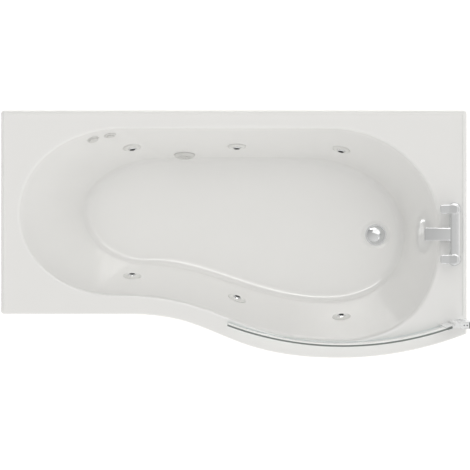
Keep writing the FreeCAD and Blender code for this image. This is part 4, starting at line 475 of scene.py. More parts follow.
def crowded(start: float, end: float, count: int) -> np.ndarray:
    """Places that crowd towards both ends: start + (end - start) (1 - cos b) / 2, b from 0 to pi."""
    return start + (end - start) * (1 - np.cos(np.linspace(0, np.pi, count))) / 2


def eased(x: np.ndarray, reach: float) -> np.ndarray:
    """Quarter-round run-in at both ends of a row: sqrt(1 - (1 - d/reach)^2), d from the nearer end."""
    away = np.minimum(np.abs(x - x[0]), np.abs(x - x[-1]))
    return np.sqrt(1 - (1 - np.clip(away / reach, 0, 1)) ** 2)


def blade(x: np.ndarray, half: np.ndarray, low: np.ndarray, top: np.ndarray, seat: Seat) -> Patch:
    """A bar along X with soft long edges: P(i, j) = (x_i, a_j half_i, mean_i + b_j depth_i / 2).

    Args:
        x: Stations along the bar.
        half: Half width at each station.
        low: Underside at each station.
        top: Top at each station.
        seat: Place of the bar's own origin.

    Returns:
        The bar's surface, with flat ends.
    """
    edge_share = 0.24
    ring = rounded(box((-1, 1), (-1, 1)), edge_share, 6, closed=True)
    across = ring[None, :, 0] * half[:, None]
    height = ((low + top)[:, None] + ring[None, :, 1] * (top - low)[:, None]) / 2
    local = np.stack(np.broadcast_arrays(x[:, None], across, height), -1)
    return Patch(seat.carry(local), False, True, capped=True)


def mesh_of(name: str, patches: Sequence[Patch]) -> bpy.types.Mesh:
    """Joins patches into one mesh, closes seams and poles and turns faces outwards.

    Args:
        name: Name of the mesh.
        patches: Surfaces in millimetres.

    Returns:
        The mesh in metres, smooth except at creases.
    """
    points, quads, slots, caps, cap_slots = [], [], [], [], []
    start = 0
    for patch in patches:
        rows, columns = patch.points.shape[:2]
        points.append(patch.points.reshape(-1, 3) * MM)
        quads.append(patch.faces(start))
        slots.append(patch.face_slots())
        if patch.capped:
            caps.append(np.arange(start, start + columns)[::-1].tolist())
            caps.append(np.arange(start + (rows - 1) * columns, start + rows * columns).tolist())
            cap_slots += [patch.cap_slot, patch.cap_slot]
        start += rows * columns
    mesh = bpy.data.meshes.new(name)
    faces = np.concatenate(quads).tolist() + caps
    mesh.from_pydata(np.concatenate(points).tolist(), [], faces)
    numbers = np.concatenate([*slots, np.array(cap_slots, int)]).astype(np.int32)
    mesh.polygons.foreach_set("material_index", numbers)
    tidy(mesh)
    return mesh


def tidy(mesh: bpy.types.Mesh, crease: float = 38.0, turn: bool = True) -> None:
    """Merges doubles and smooths all but the creases.

    Args:
        mesh: Mesh to tidy in place.
        crease: Angle in degrees above which an edge stays sharp.
        turn: Whether the faces are turned outwards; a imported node's already face outwards and keep their way.
    """
    work = bmesh.new()
    work.from_mesh(mesh)
    bmesh.ops.remove_doubles(work, verts=work.verts, dist=MERGE)
    bmesh.ops.dissolve_degenerate(work, edges=work.edges, dist=SLIVER)
    if turn:
        bmesh.ops.recalc_face_normals(work, faces=work.faces)
    work.to_mesh(mesh)
    work.free()
    mesh.polygons.foreach_set("use_smooth", np.ones(len(mesh.polygons), bool))
    mesh.set_sharp_from_angle(angle=math.radians(crease))


def add_piece(
    name: str,
    shape: bpy.types.Mesh | Sequence[Patch],
    finishes: Sequence[Finish],
    body: str,
    slot: str,
    replaced: Sequence[str] = (),
) -> bpy.types.Object:
    """Puts a shape in the scene as a piece of the bath.

    Args:
        name: Name of the piece.
        shape: Its finished mesh, or the surfaces that make it.
        finishes: Finishes by material number.
        body: Body that carries it.
        slot: Material slot of the record; not used.
        replaced: Nodes that it stands for.

    Returns:
        The new object.
    """
    mesh = shape if isinstance(shape, bpy.types.Mesh) else mesh_of(name, shape)
    piece = bpy.data.objects.new(name, mesh)
    bpy.context.scene.collection.objects.link(piece)
    for finish in finishes:
        mesh.materials.append(finish.material())
    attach(piece, body)
    if replaced:
        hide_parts(*replaced)
        DRESSED.update(replaced)
    LOG.info("%s: %d faces on %s, %s", name, len(mesh.polygons), body, finishes[0].name)
    return piece


# Bath moulding


@dataclass(frozen=True)
class BowlLine:
    """A level outline of the bowl: six Bezier edges, clockwise from its straight back.

    A pull or a fullness is the share of an edge's run that its control points take.
    """

    left: float
    right: float
    back: float
    narrow: float
    wide: float
    back_left: float
    back_right: float
    narrow_x: float
    wide_x: float
    pull_narrow: float
    pull_wide: float
    full_wide: float
    full_foot: float
    full_back: float = 0.56
    foot_y: float = 75.0
    tap_y: float = 6.0

    def edges(self, grow: float = 0.0) -> np.ndarray:
        """Works out control points: an edge's start, two at a share of its run from either end, and its end.

        Args:
            grow: How far the outline is moved outwards.

        Returns:
            Six edges of four control points.
        """
        left, right = self.left - grow, self.right + grow
        back, narrow, wide = self.back + grow, self.narrow - grow, self.wide - grow
        touch = np.array([
            (self.back_left, back), (self.back_right, back), (right, self.tap_y), (self.wide_x, wide),
            (self.narrow_x, narrow), (left, self.foot_y),
        ])
        way = np.array([(1, 0), (1, 0), (0, -1), (-1, 0), (-1, 0), (0, 1)])
        shares = [1 / 3, self.full_back, self.full_wide, self.pull_wide, self.full_foot, self.full_back]
        leave, arrive = np.array(shares), np.array(shares)
        arrive[3] = self.pull_narrow
        after, ahead = np.roll(touch, -1, axis=0), np.roll(way, -1, axis=0)
        step = after - touch
        first = touch + way * (leave * (step * way).sum(axis=1))[:, None]
        last = after - ahead * (arrive * (step * ahead).sum(axis=1))[:, None]
        return np.stack([touch, first, last, after], axis=1)


@dataclass
class Moulding:
    """The acrylic bath with its fibre backing and tile bead.

    The bowl's wall is ruled between two outlines, one at the rim and one at the floor.
    """

    half_length: float = 800.0
    half_width: float = 425.0
    narrow_y: float = -275.0
    rim: float = 560.0
    floor: float = 150.0
    wall: float = 5.0
    lip: float = 520.0
    bow_x: float = 364.0
    bow_radius: float = 1187.0
    s_x: float = -357.0
    s_pull: float = 0.43
    bead_stop: float = -279.3
    bead_foot: float = 15.0
    bead_inset: float = 8.0
    bead_width: float = 7.0
    bead_height: float = 3.0
    bead_sunk: float = 1.0
    bead_round: float = 2.4
    corner: float = 12.0
    edge: float = 6.0
    mouth_round: float = 13.0
    cove: float = 34.0
    waste: tuple[float, float] = (491.0, -2.0)
    dish: tuple[float, float, float] = (51.0, 40.0, 4.0)
    hole: float = 25.0
    middle_y: float = 40.0
    parting_y: float = 30.0
    samples: int = 80
    mouth_line: BowlLine = BowlLine(
        left=-737.0, right=706.0, back=364.0, narrow=-209.0, wide=-365.0,
        back_left=-380.0, back_right=330.0, narrow_x=-400.0, wide_x=373.0,
        pull_narrow=0.495, pull_wide=0.505, full_wide=0.64, full_foot=0.57,
    )
    floor_line: BowlLine = BowlLine(
        left=-512.0, right=585.0, back=258.0, narrow=-98.0, wide=-228.0,
        back_left=-230.0, back_right=230.0, narrow_x=-300.0, wide_x=315.0,
        pull_narrow=0.34, pull_wide=0.38, full_wide=0.62, full_foot=0.52,
    )

    def rim_line(self) -> np.ndarray:
        """Draws the rim, clockwise: straight wall sides, bow, S and narrow front.

        Returns:
            Its points, one every millimetre.
        """
        length, width, narrow, r = self.half_length, self.half_width, self.narrow_y, self.corner
        bow_y = self.bow_radius - width
        turn = math.asin((length - self.bow_x) / self.bow_radius)
        end = (length, bow_y - self.bow_radius * math.cos(turn))
        quarter = np.linspace(0, np.pi / 2, 13)
        arc = r * np.stack([np.cos(quarter), np.sin(quarter)], 1)
        back_left = (r - length, width - r) + arc * (-1, 1)
        back_right = (length - r, width - r) + arc[:, ::-1]
        narrow_corner = (r - length, narrow + r) - arc[:, ::-1]
        reach = r * math.tan((np.pi / 2 - turn) / 2)
        bow_turns = np.linspace(turn - reach / self.bow_radius, 0, 200)
        bow_arc = np.stack([np.sin(bow_turns), -np.cos(bow_turns)], 1)
        bow = (self.bow_x, bow_y) + self.bow_radius * bow_arc
        nearly = 0.99
        bow_corner = rounded([(length, end[1] + reach), end, tuple(bow[0])], nearly * reach, 10)
        pull = self.s_x + self.s_pull * (self.bow_x - self.s_x)
        s_edge = [(self.bow_x, -width), (pull, -width), (pull, narrow), (self.s_x, narrow)]
        s_curve = bezier(np.array([s_edge]), np.linspace(0, 1, 200))
        line = np.concatenate([back_left, back_right, bow_corner, bow, s_curve, narrow_corner, back_left[:1]])
        run = np.concatenate([[0], np.cumsum(np.linalg.norm(np.diff(line, axis=0), axis=1))])
        even = np.arange(0, run[-1], 1.0)
        return np.stack([np.interp(even, run, line[:, k]) for k in (0, 1)], 1)

    def bearing(self, points: np.ndarray) -> np.ndarray:
        """Angle of plan points about the bath's middle, growing clockwise from the foot end."""
        return (np.pi - np.arctan2(points[:, 1] - self.middle_y, points[:, 0])) % (2 * np.pi)

    def stations(self) -> tuple[np.ndarray, np.ndarray, np.ndarray]:
        """Places the sections evenly on the bowl outline, and closer where the rim turns a corner.

        Returns:
            Parameters on the outline, and the rim's points and outward normals at the same bearings.
        """
        line = self.rim_line()
        reach, near, sharp = 3, 2, 0.1
        along = unit(np.roll(line, -reach, axis=0) - np.roll(line, reach, axis=0))
        out = np.stack([-along[:, 1], along[:, 0]], 1)
        turning = np.linalg.norm(np.roll(out, -near, axis=0) - np.roll(out, near, axis=0), axis=1) > sharp
        mouth = self.mouth_line.edges()
        count = len(mouth)
        dense = np.linspace(0, count, 1000 * count + 1)
        bearings = np.unwrap(self.bearing(bezier(mouth, dense)))
        corners = self.bearing(line[turning])
        corners = np.where(corners < bearings[0], corners + 2 * np.pi, corners)
        extra = np.interp(corners, bearings, dense)
        u = np.unique(np.round(np.concatenate([np.arange(0, count, 1 / self.samples), extra]), 4))
        u = u[u < count]
        at, known = self.bearing(bezier(mouth, u)), self.bearing(line)
        rim, normal = (
            np.stack([np.interp(at, known, rows[:, k], period=2 * np.pi) for k in (0, 1)], 1)
            for rows in (line, out)
        )
        return u, rim, unit(normal)

    def wall_lines(self, u: np.ndarray, grow: float) -> tuple[np.ndarray, np.ndarray, np.ndarray, np.ndarray]:
        """Rules the wall from the floor's outline to the mouth's.

        Args:
            u: Parameters on the outlines.
            grow: How far the outlines are moved outwards.

        Returns:
            The wall's foot and head, its plan direction outwards and its rise angle, at each parameter.
        """
        foot, head = (bezier(line.edges(grow), u) for line in (self.floor_line, self.mouth_line))
        reach = np.linalg.norm(head - foot, axis=1, keepdims=True)
        return foot, head, unit(head - foot), np.arctan2(self.rim - self.floor, reach)

    @staticmethod
    def raised(plan: np.ndarray, z: float | np.ndarray) -> np.ndarray:
        """Plan points with a height."""
        height = np.broadcast_to(np.asarray(z, float), plan.shape[:-1])
        return np.concatenate([plan, height[..., None]], axis=-1)

    def bend(
        self, start: np.ndarray, out: np.ndarray, radius: float, turns: Sequence[np.ndarray], z: float,
    ) -> list[np.ndarray]:
        """Bends a level sheet towards the wall: start + R d sin b in plan, at z + R (1 - cos b).

        Args:
            start: Plan points where the bend leaves the level.
            out: Plan directions d outwards.
            radius: Radius R; below nought the sheet goes inwards and down.
            turns: Angles b, for each column.
            z: Height of the level.

        Returns:
            A column for each turn.
        """
        return [
            self.raised(start + out * radius * np.sin(turn), z + radius * (1 - np.cos(turn[:, 0])))
            for turn in turns
        ]

    def turn_over(
        self, start: np.ndarray, way: np.ndarray, radius: float, z: float, steps: int,
    ) -> list[np.ndarray]:
        """Turns an upright face over to a level: start + R d (1 - cos b) in plan, at z - R (1 - sin b).

        Args:
            start: Plan points of the upright face.
            way: Plan directions d that the level runs in.
            radius: Radius R.
            z: Height of the level.
            steps: Pieces in the turn.

        Returns:
            A column for each step.
        """
        return [
            self.raised(start + way * radius * (1 - math.cos(turn)), z - radius * (1 - math.sin(turn)))
            for turn in np.linspace(0, np.pi / 2, steps + 1)[1:]
        ]

    def waste_ring(self, ray: np.ndarray, radius: float, z: float) -> np.ndarray:
        """A round column about the waste: middle + r ray."""
        return self.raised(np.array(self.waste) + ray * radius, z)

    def inside(self, u: np.ndarray, rim: np.ndarray, normal: np.ndarray) -> list[np.ndarray]:
        """Lays out the seen face: lip, deck, rolled mouth, wall, cove and floor, down to the waste.

        Args:
            u: Parameters on the bowl outline.
            rim: The rim's points there.
            normal: The rim's outward normals there.

        Returns:
            Its columns.
        """
        foot, head, out, rise = self.wall_lines(u, 0.0)
        columns = [self.raised(rim - normal, self.lip), self.raised(rim, self.lip + 1.0)]
        columns += [self.raised(rim, z) for z in np.linspace(self.lip + 4, self.rim - self.edge, 3)]
        columns += self.turn_over(rim, -normal, self.edge, self.rim, 7)
        mouth = head + out * self.mouth_round * np.tan(rise / 2)
        columns += between(columns[-1], self.raised(mouth, self.rim), (0.06, 0.3, 0.65, 0.94))
        roll = [rise * share for share in np.linspace(0, 1, 9)]
        columns += self.bend(mouth, out, -self.mouth_round, roll, self.rim)
        base = foot - out * self.cove * np.tan(rise / 2)
        cove = self.bend(base, out, self.cove, [rise * share for share in np.linspace(1, 0, 13)], self.floor)
        columns += between(columns[-1], cove[0], np.linspace(0, 1, 14)[1:-1])
        return columns + cove + self.floor_rings(base)

    def floor_rings(self, base: np.ndarray) -> list[np.ndarray]:
        """Lays out the floor; between its two radii the dish falls by depth s^2 (3 - 2s), s being the share.

        The rings crowd where the dish bends.

        Args:
            base: Plan points where the cove meets the floor.

        Returns:
            Columns from the cove to the waste hole.
        """
        ray = unit(base - self.waste)
        outer, inner, depth = self.dish
        ring = self.waste_ring(ray, outer + 8, self.floor)
        rings = between(self.raised(base, self.floor), ring, (0.03, 0.25, 0.5, 0.75, 1.0))
        slope = np.linspace(outer - 1, inner + 1, 5)
        for radius in (outer + 3, outer + 1, outer, *slope, inner, inner - 1.5, inner - 4, self.hole):
            share = np.clip((outer - radius) / (outer - inner), 0, 1)
            rings.append(self.waste_ring(ray, radius, self.floor - depth * share * share * (3 - 2 * share)))
        return rings

    def behind(self, u: np.ndarray, rim: np.ndarray, normal: np.ndarray) -> list[np.ndarray]:
        """Lays out the unseen face, from the waste hole under the floor, up the wall and out to the lip.

        Args:
            u: Parameters on the bowl outline.
            rim: The rim's points there.
            normal: The rim's outward normals there.

        Returns:
            Its columns.
        """
        foot, head, out, rise = self.wall_lines(u, self.wall)
        under, deck = self.floor - self.wall, self.rim - self.wall
        foot = foot - self.wall / (self.rim - self.floor) * (head - foot)
        radius = self.cove + self.wall
        base = foot - out * radius * np.tan(rise / 2)
        ray = unit(base - self.waste)
        boss, low = self.dish[0] + self.wall, under - self.dish[2]
        steps = ((self.hole, low), (boss - 1, low), (boss, low + 1), (boss, under))
        columns = [self.waste_ring(ray, step, z) for step, z in steps]
        columns += between(columns[-1], self.raised(base, under), (0.05, 0.35, 0.7, 0.97))
        columns += self.bend(base, out, radius, [rise * share for share in np.linspace(0, 1, 8)], under)
        top = foot + (head - foot) * (deck - under) / (self.rim - under)
        fillet = self.mouth_round
        lower = top - out * fillet / np.tan(rise)
        columns += between(columns[-1], self.raised(lower, deck - fillet), np.linspace(0, 1, 8)[1:])
        columns += self.turn_over(lower, out, fillet, deck, 5)
        lip_in = rim - normal * self.wall
        ends = ((lip_in - normal, deck), (lip_in, deck - 1), (lip_in, self.lip))
        return columns + [self.raised(plan, z) for plan, z in ends]

    def bead(self) -> Patch:
        """Carries the tile bead's section round the three wall sides, with mitred corners.

        Returns:
            The ridge, with flat ends.
        """
        low, top, width = -self.bead_sunk, self.bead_height, self.bead_width
        section = rounded([(0.0, low), (0.0, top), (width, top), (width, low)], self.bead_round, 5)
        inset, height = self.bead_inset + section[:, 0], self.rim + section[:, 1]
        left, right, back = -self.half_length + inset, self.half_length - inset, self.half_width - inset
        foot_stop = self.narrow_y + self.bead_foot
        path = [(left, foot_stop), (left, back), (right, back), (right, self.bead_stop)]
        rows = [np.stack(np.broadcast_arrays(x, y, height), 1) for x, y in path]
        return Patch(np.stack(rows), False, True, capped=True)

    def seat(self, z: float, side: int, x: float) -> Seat:
        """Finds a seat on the bowl's wall; inward is square to the wall and up lies in it.

        Args:
            z: Height of the seat.
            side: One for the back, minus one for the front.
            x: Place along the bath.

        Returns:
            The seat.
        """
        wrong_side, nudge = 1e4, 1e-4
        foot, head = self.floor_line.edges(), self.mouth_line.edges()
        edges = foot + (z - self.floor) / (self.rim - self.floor) * (head - foot)
        dense = np.linspace(0, len(edges), 4000 * len(edges) + 1)
        line = bezier(edges, dense)
        miss = np.abs(line[:, 0] - x) + wrong_side * ((line[:, 1] - self.parting_y) * side < 0)
        spot = int(np.argmin(miss))
        near = dense[[spot]]
        step = bezier(edges, near + nudge) - bezier(edges, near - nudge)
        climb = bezier(head, near) - bezier(foot, near)
        inward = unit(np.cross([*step[0], 0.0], [*climb[0], self.rim - self.floor]))
        inward *= 1.0 if inward[2] > 0 else -1.0
        up = unit(np.array([0.0, 0.0, 1.0]) - inward * inward[2])
        return Seat(np.array([*line[spot], z]), np.cross(up, inward), up, inward)

    def build(self) -> None:
        """Builds the moulding and the bead."""
        places = self.stations()
        inside, behind = self.inside(*places), self.behind(*places)
        slots = np.repeat([0, 1], [len(inside), len(behind)])
        grid = Patch(np.stack(inside + behind, axis=1), True, True, slots=slots)
        add_piece("bath_moulding", [grid], (ACRYLIC, FIBRE_BACK), "bath", "white_acrylic", ["bath_shell"])
        add_piece("tile_bead", [self.bead()], (ACRYLIC,), "bath", "white_acrylic")


# Fittings on the bowl's wall


@dataclass
class Jets:
    """Six water jets: white bezels and chrome eyeballs whose nozzle flare and bore are black as painted shade
    inside the nozzle.

    Pairs are a radius and a height over the wall.
    """

    moulding: Moulding
    height: float = 325.0
    xs: tuple[float, float, float] = (-351.0, 10.0, 371.0)
    seal: float = 2.0
    skirt: float = 0.9
    gap: float = 0.3
    bezel: float = 32.0
    edge: float = 0.5
    slope: float = 8.0
    crown: float = 20.0
    face: float = 6.2
    mouth: float = 14.9
    throat: tuple[float, float] = (17.6, 1.5)
    socket: tuple[float, float] = (19.3, -6.0)
    sleeve: tuple[float, float] = (24.6, -34.0)
    ball: float = 19.0
    ball_set: float = 6.0
    front: float = 9.0
    back: float = -19.0
    arc: int = 30
    soft: float = 0.9
    bore: float = 6.0
    flare: tuple[tuple[float, float], ...] = ((7.2, 4.0), (9.5, 8.6))
    flare_mouth: float = 9.9

    def seats(self) -> Iterator[tuple[str, Seat]]:
        """Goes along the back wall and then the front.

        Yields:
            Each jet's name and seat.
        """
        for wall, side in (("back", 1), ("front", -1)):
            for spot, x in zip(("left", "middle", "right"), self.xs):
                yield f"{wall}_{spot}_jet", self.moulding.seat(self.height, side, x)

    def bezel_profile(self) -> np.ndarray:
        """Draws a flange that rolls over into the eyeball's socket, and the sleeve behind the wall.

        Returns:
            Rows of radius and height.
        """
        sleeve, deep = self.sleeve
        inner = self.bezel - self.skirt
        return rounded([
            (sleeve, deep), (sleeve, self.seal), (inner, self.seal), (inner, self.gap),
            (self.bezel, self.gap), (self.bezel, self.seal + self.edge),
            (self.bezel - self.slope, self.face - self.gap), (self.crown, self.face), (self.mouth, self.face),
            self.throat, self.socket, (self.socket[0], deep),
        ], self.soft, closed=True)

    def ball_profile(self) -> np.ndarray:
        """Draws a ball with a flat front, a flared nozzle and a bore; the ball is r = sqrt(R^2 - (z - c)^2).

        Returns:
            Rows of radius and height, the ball's arc first.
        """
        z = np.linspace(self.front, self.back, self.arc)
        arc = np.stack([np.sqrt(self.ball**2 - (z + self.ball_set) ** 2), z], 1)
        bore = [(self.bore, self.back), (self.bore, 0.0)]
        return np.concatenate([arc, bore, self.flare, [(self.flare_mouth, self.front)]])

    def build(self) -> None:
        """Builds each eyeball on its own body, and the bezels as one piece."""
        bezels = []
        profile = self.ball_profile()
        nozzle = len(profile) - self.arc - 1
        for name, seat in self.seats():
            bezels.append(lathe(self.bezel_profile(), seat, closed=True))
            turned = lathe(profile, seat, 72, closed=True)
            # Painted shade: the nozzle's flare and bore take black polypropylene so the hollow reads dark
            turned.slots = np.repeat([0, 1, 0], [self.arc, nozzle, 1])
            add_piece(f"{name}_eyeball", [turned], (CHROME, BLACK_PP), name, "chrome", [name])
        add_piece("jet_flanges", bezels, (WHITE_ABS,), "bath", "white_plastic", ["jet_bezels"])


@dataclass
class Suction:
    """Slotted suction cover, drawn as a height over its disc: a dome with ten radial slots sunk into it."""

    moulding: Moulding
    x: float = -170.5
    z: float = 214.0
    radius: float = 36.0
    top: float = 10.0
    low: float = 2.0
    crown: float = 27.4
    shoulder: float = 32.4
    shoulder_drop: float = 3.0
    edge: float = 3.0
    gap: float = 0.3
    skirt: float = 0.9
    soft: float = 2.2
    fine_rings: int = 70
    fine_from: float = 0.1
    fine_to: float = 26.0
    slots: int = 10
    slot_steps: int = 60
    slot: float = 4.0
    slot_from: float = 9.0
    slot_to: float = 23.2
    slot_depth: float = 5.0
    slot_soft: float = 0.6

    def cover(self) -> Patch:
        """Sinks the slots: z(r, a) = dome(r) - depth inside(r) inside(|r sin da|), da from the nearest slot.

        Returns:
            The cover's surface.
        """
        inner = self.radius - self.skirt
        dome = rounded([
            (0.0, self.top), (self.crown, self.top), (self.shoulder, self.top - self.shoulder_drop),
            (self.radius, self.edge), (self.radius, self.gap), (inner, self.gap), (inner, self.low),
            (0.0, self.low),
        ], self.soft, 5)
        fine = np.linspace(self.fine_from, self.fine_to, self.fine_rings)
        crown = np.stack(np.broadcast_arrays(fine, self.top), 1)
        radius, height = np.concatenate([dome[:1], crown, dome[1:]]).T
        angle = round_angles(self.slots * self.slot_steps)
        pitch = 2 * np.pi / self.slots
        away = np.abs(radius * np.sin((angle + pitch / 2) % pitch - pitch / 2))
        across = np.clip((self.slot / 2 - away) / self.slot_soft + 0.5, 0, 1)
        within = np.minimum(radius - self.slot_from, self.slot_to - radius)
        along = np.clip(within / self.slot_soft + 0.5, 0, 1)
        sunk = self.slot_depth * across * along * (height > self.low)
        return Patch(self.moulding.seat(self.z, 1, self.x).carry(spun(radius, angle, height - sunk)))

    def build(self) -> None:
        """Builds the cover."""
        add_piece("suction_cover", [self.cover()], (PALE_ABS,), "bath", "white_plastic", ["suction_grille"])


@dataclass
class Controls:
    """Air control knob and on/off button on the foot-end wall.

    An edge is given as pairs of inset from the radius and drop from the top.
    """

    moulding: Moulding
    z: float = 492.0
    knob_x: float = -484.0
    button_x: float = -426.0
    face: float = 4.4
    gap: float = 0.3
    seal: float = 2.0
    flange: float = 20.0
    skirt: float = 0.9
    knob: float = 17.0
    knob_height: float = 4.5
    knob_edge: tuple[tuple[float, float], ...] = ((0.5, 1.5), (2.0, 0.0), (4.5, 0.4), (17.0, 0.6))
    knob_soft: float = 0.8
    stem: float = 6.0
    stem_low: float = -19.0
    flutes: int = 14
    flute_steps: int = 20
    flute: float = 1.5
    flute_from: float = 12.0
    flute_to: float = 15.0
    cap: float = 11.5
    cap_proud: float = 3.4
    cap_edge: tuple[tuple[float, float], ...] = ((0.0, 0.4), (2.2, 0.0), (5.0, 0.5), (11.5, 0.7))
    cap_soft: float = 0.9
    press: float = 3.0
    bellows: tuple[float, float] = (-24.0, -0.6)
    bellows_radius: float = 9.0
    bellows_wall: float = 1.0
    bellows_fold: float = 2.2
    bellows_folds: int = 4

    def knob_patch(self, seat: Seat) -> Patch:
        """Flutes a knob with a stem and a dished top: r(a, i) = r_i - depth max(0, cos(n a))^4 on its side.

        Args:
            seat: Axis and place.

        Returns:
            The knob's surface.
        """
        low, top = self.face + self.gap, self.face + self.knob_height
        radius, height = rounded([
            (0.0, self.stem_low), (self.stem, self.stem_low), (self.stem, low), (self.knob, low),
            *[(self.knob - inset, top - drop) for inset, drop in self.knob_edge],
        ], self.knob_soft).T
        angle = round_angles(self.flutes * self.flute_steps)
        side = np.clip((radius - self.flute_from) / (self.flute_to - self.flute_from), 0, 1)
        fluted = radius - self.flute * side * np.maximum(0, np.cos(self.flutes * angle)) ** 4
        return Patch(seat.carry(spun(fluted, angle, height)))

    def cap_patch(self, seat: Seat) -> Patch:
        """Round cap with a soft edge and a slightly hollow top."""
        edge = [(self.cap - inset, self.face + self.cap_proud - drop) for inset, drop in self.cap_edge]
        return lathe(rounded([(0.0, 0.0), (self.cap, 0.0), *edge], self.cap_soft, 5), seat)

    def skirt_patch(self, seat: Seat) -> Patch:
        """Rim turned down from a control's flange to the wall, which hides the seal."""
        corners = box((self.flange - self.skirt, self.flange), (self.gap, self.seal))
        return lathe(np.array(corners), seat, closed=True)

    def bellows_patch(self, seat: Seat) -> Patch:
        """Turns a folded rubber tube, whose radius steps in and out from fold to fold.

        Args:
            seat: Axis and place.

        Returns:
            The tube's surface.
        """
        fold = np.arange(2 * self.bellows_folds + 1)
        radius = self.bellows_radius - self.bellows_fold * (fold % 2)
        outer = np.stack([radius, np.linspace(*self.bellows, len(fold))], 1)
        return lathe(np.concatenate([outer, outer[::-1] - (self.bellows_wall, 0.0)]), seat, 48, closed=True)

    def build(self) -> None:
        """Builds the knob and the cap on their own bodies, and the folded bellows behind the cap."""
        turned, place = (self.moulding.seat(self.z, 1, x) for x in (self.knob_x, self.button_x))
        rims = [self.skirt_patch(turned), self.skirt_patch(place)]
        add_piece("control_skirts", rims, (PALE_ABS,), "bath", "white_plastic")
        knob, cap, tube = self.knob_patch(turned), self.cap_patch(place), self.bellows_patch(place)
        add_piece("air_knob_fluted", [knob], (PALE_ABS,), "air_knob", "white_plastic", ["air_control_knob"])
        add_piece("button_dome", [cap], (PALE_ABS,), "button", "white_plastic", ["button_cap"])
        soft = add_piece("bellows_tube", [tube], (RUBBER,), "bath", "black_rubber", ["button_bellows"])
        deep, near = self.bellows
        tuple(place.inward)
        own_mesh(soft)


@dataclass
class Waste:
    """Chrome waste plug: a shallow dome on a stem."""

    x: float = 491.0
    y: float = -2.0
    rest: float = 148.9
    radius: float = 32.0
    rise: float = 8.0
    edge: float = 2.0
    edge_in: float = 0.8
    edge_drop: float = 0.6
    soft: float = 0.8
    stem: float = 5.0
    stem_low: float = 108.0

    def build(self) -> None:
        """Builds the plug; its crown is r = R sin b, z = c + R cos b, R from the cap's width and rise."""
        ball = (self.radius**2 + self.rise**2) / (2 * self.rise)
        shoulder = self.rest + self.edge
        turn = np.linspace(0, math.asin((self.radius - self.edge_in) / ball), 30)
        crown = np.stack([ball * np.sin(turn), shoulder + self.rise - ball + ball * np.cos(turn)], 1)
        side = rounded([
            tuple(crown[-1]), (self.radius, shoulder - self.edge_drop), (self.radius, self.rest),
            (self.stem, self.rest), (self.stem, self.stem_low), (0.0, self.stem_low),
        ], self.soft)
        plug = lathe(np.concatenate([crown, side[1:]]), upright(self.x, self.y))
        add_piece("waste_dome", [plug], (CHROME,), "waste_plug", "chrome", ["waste_plug"])


# Deck filler


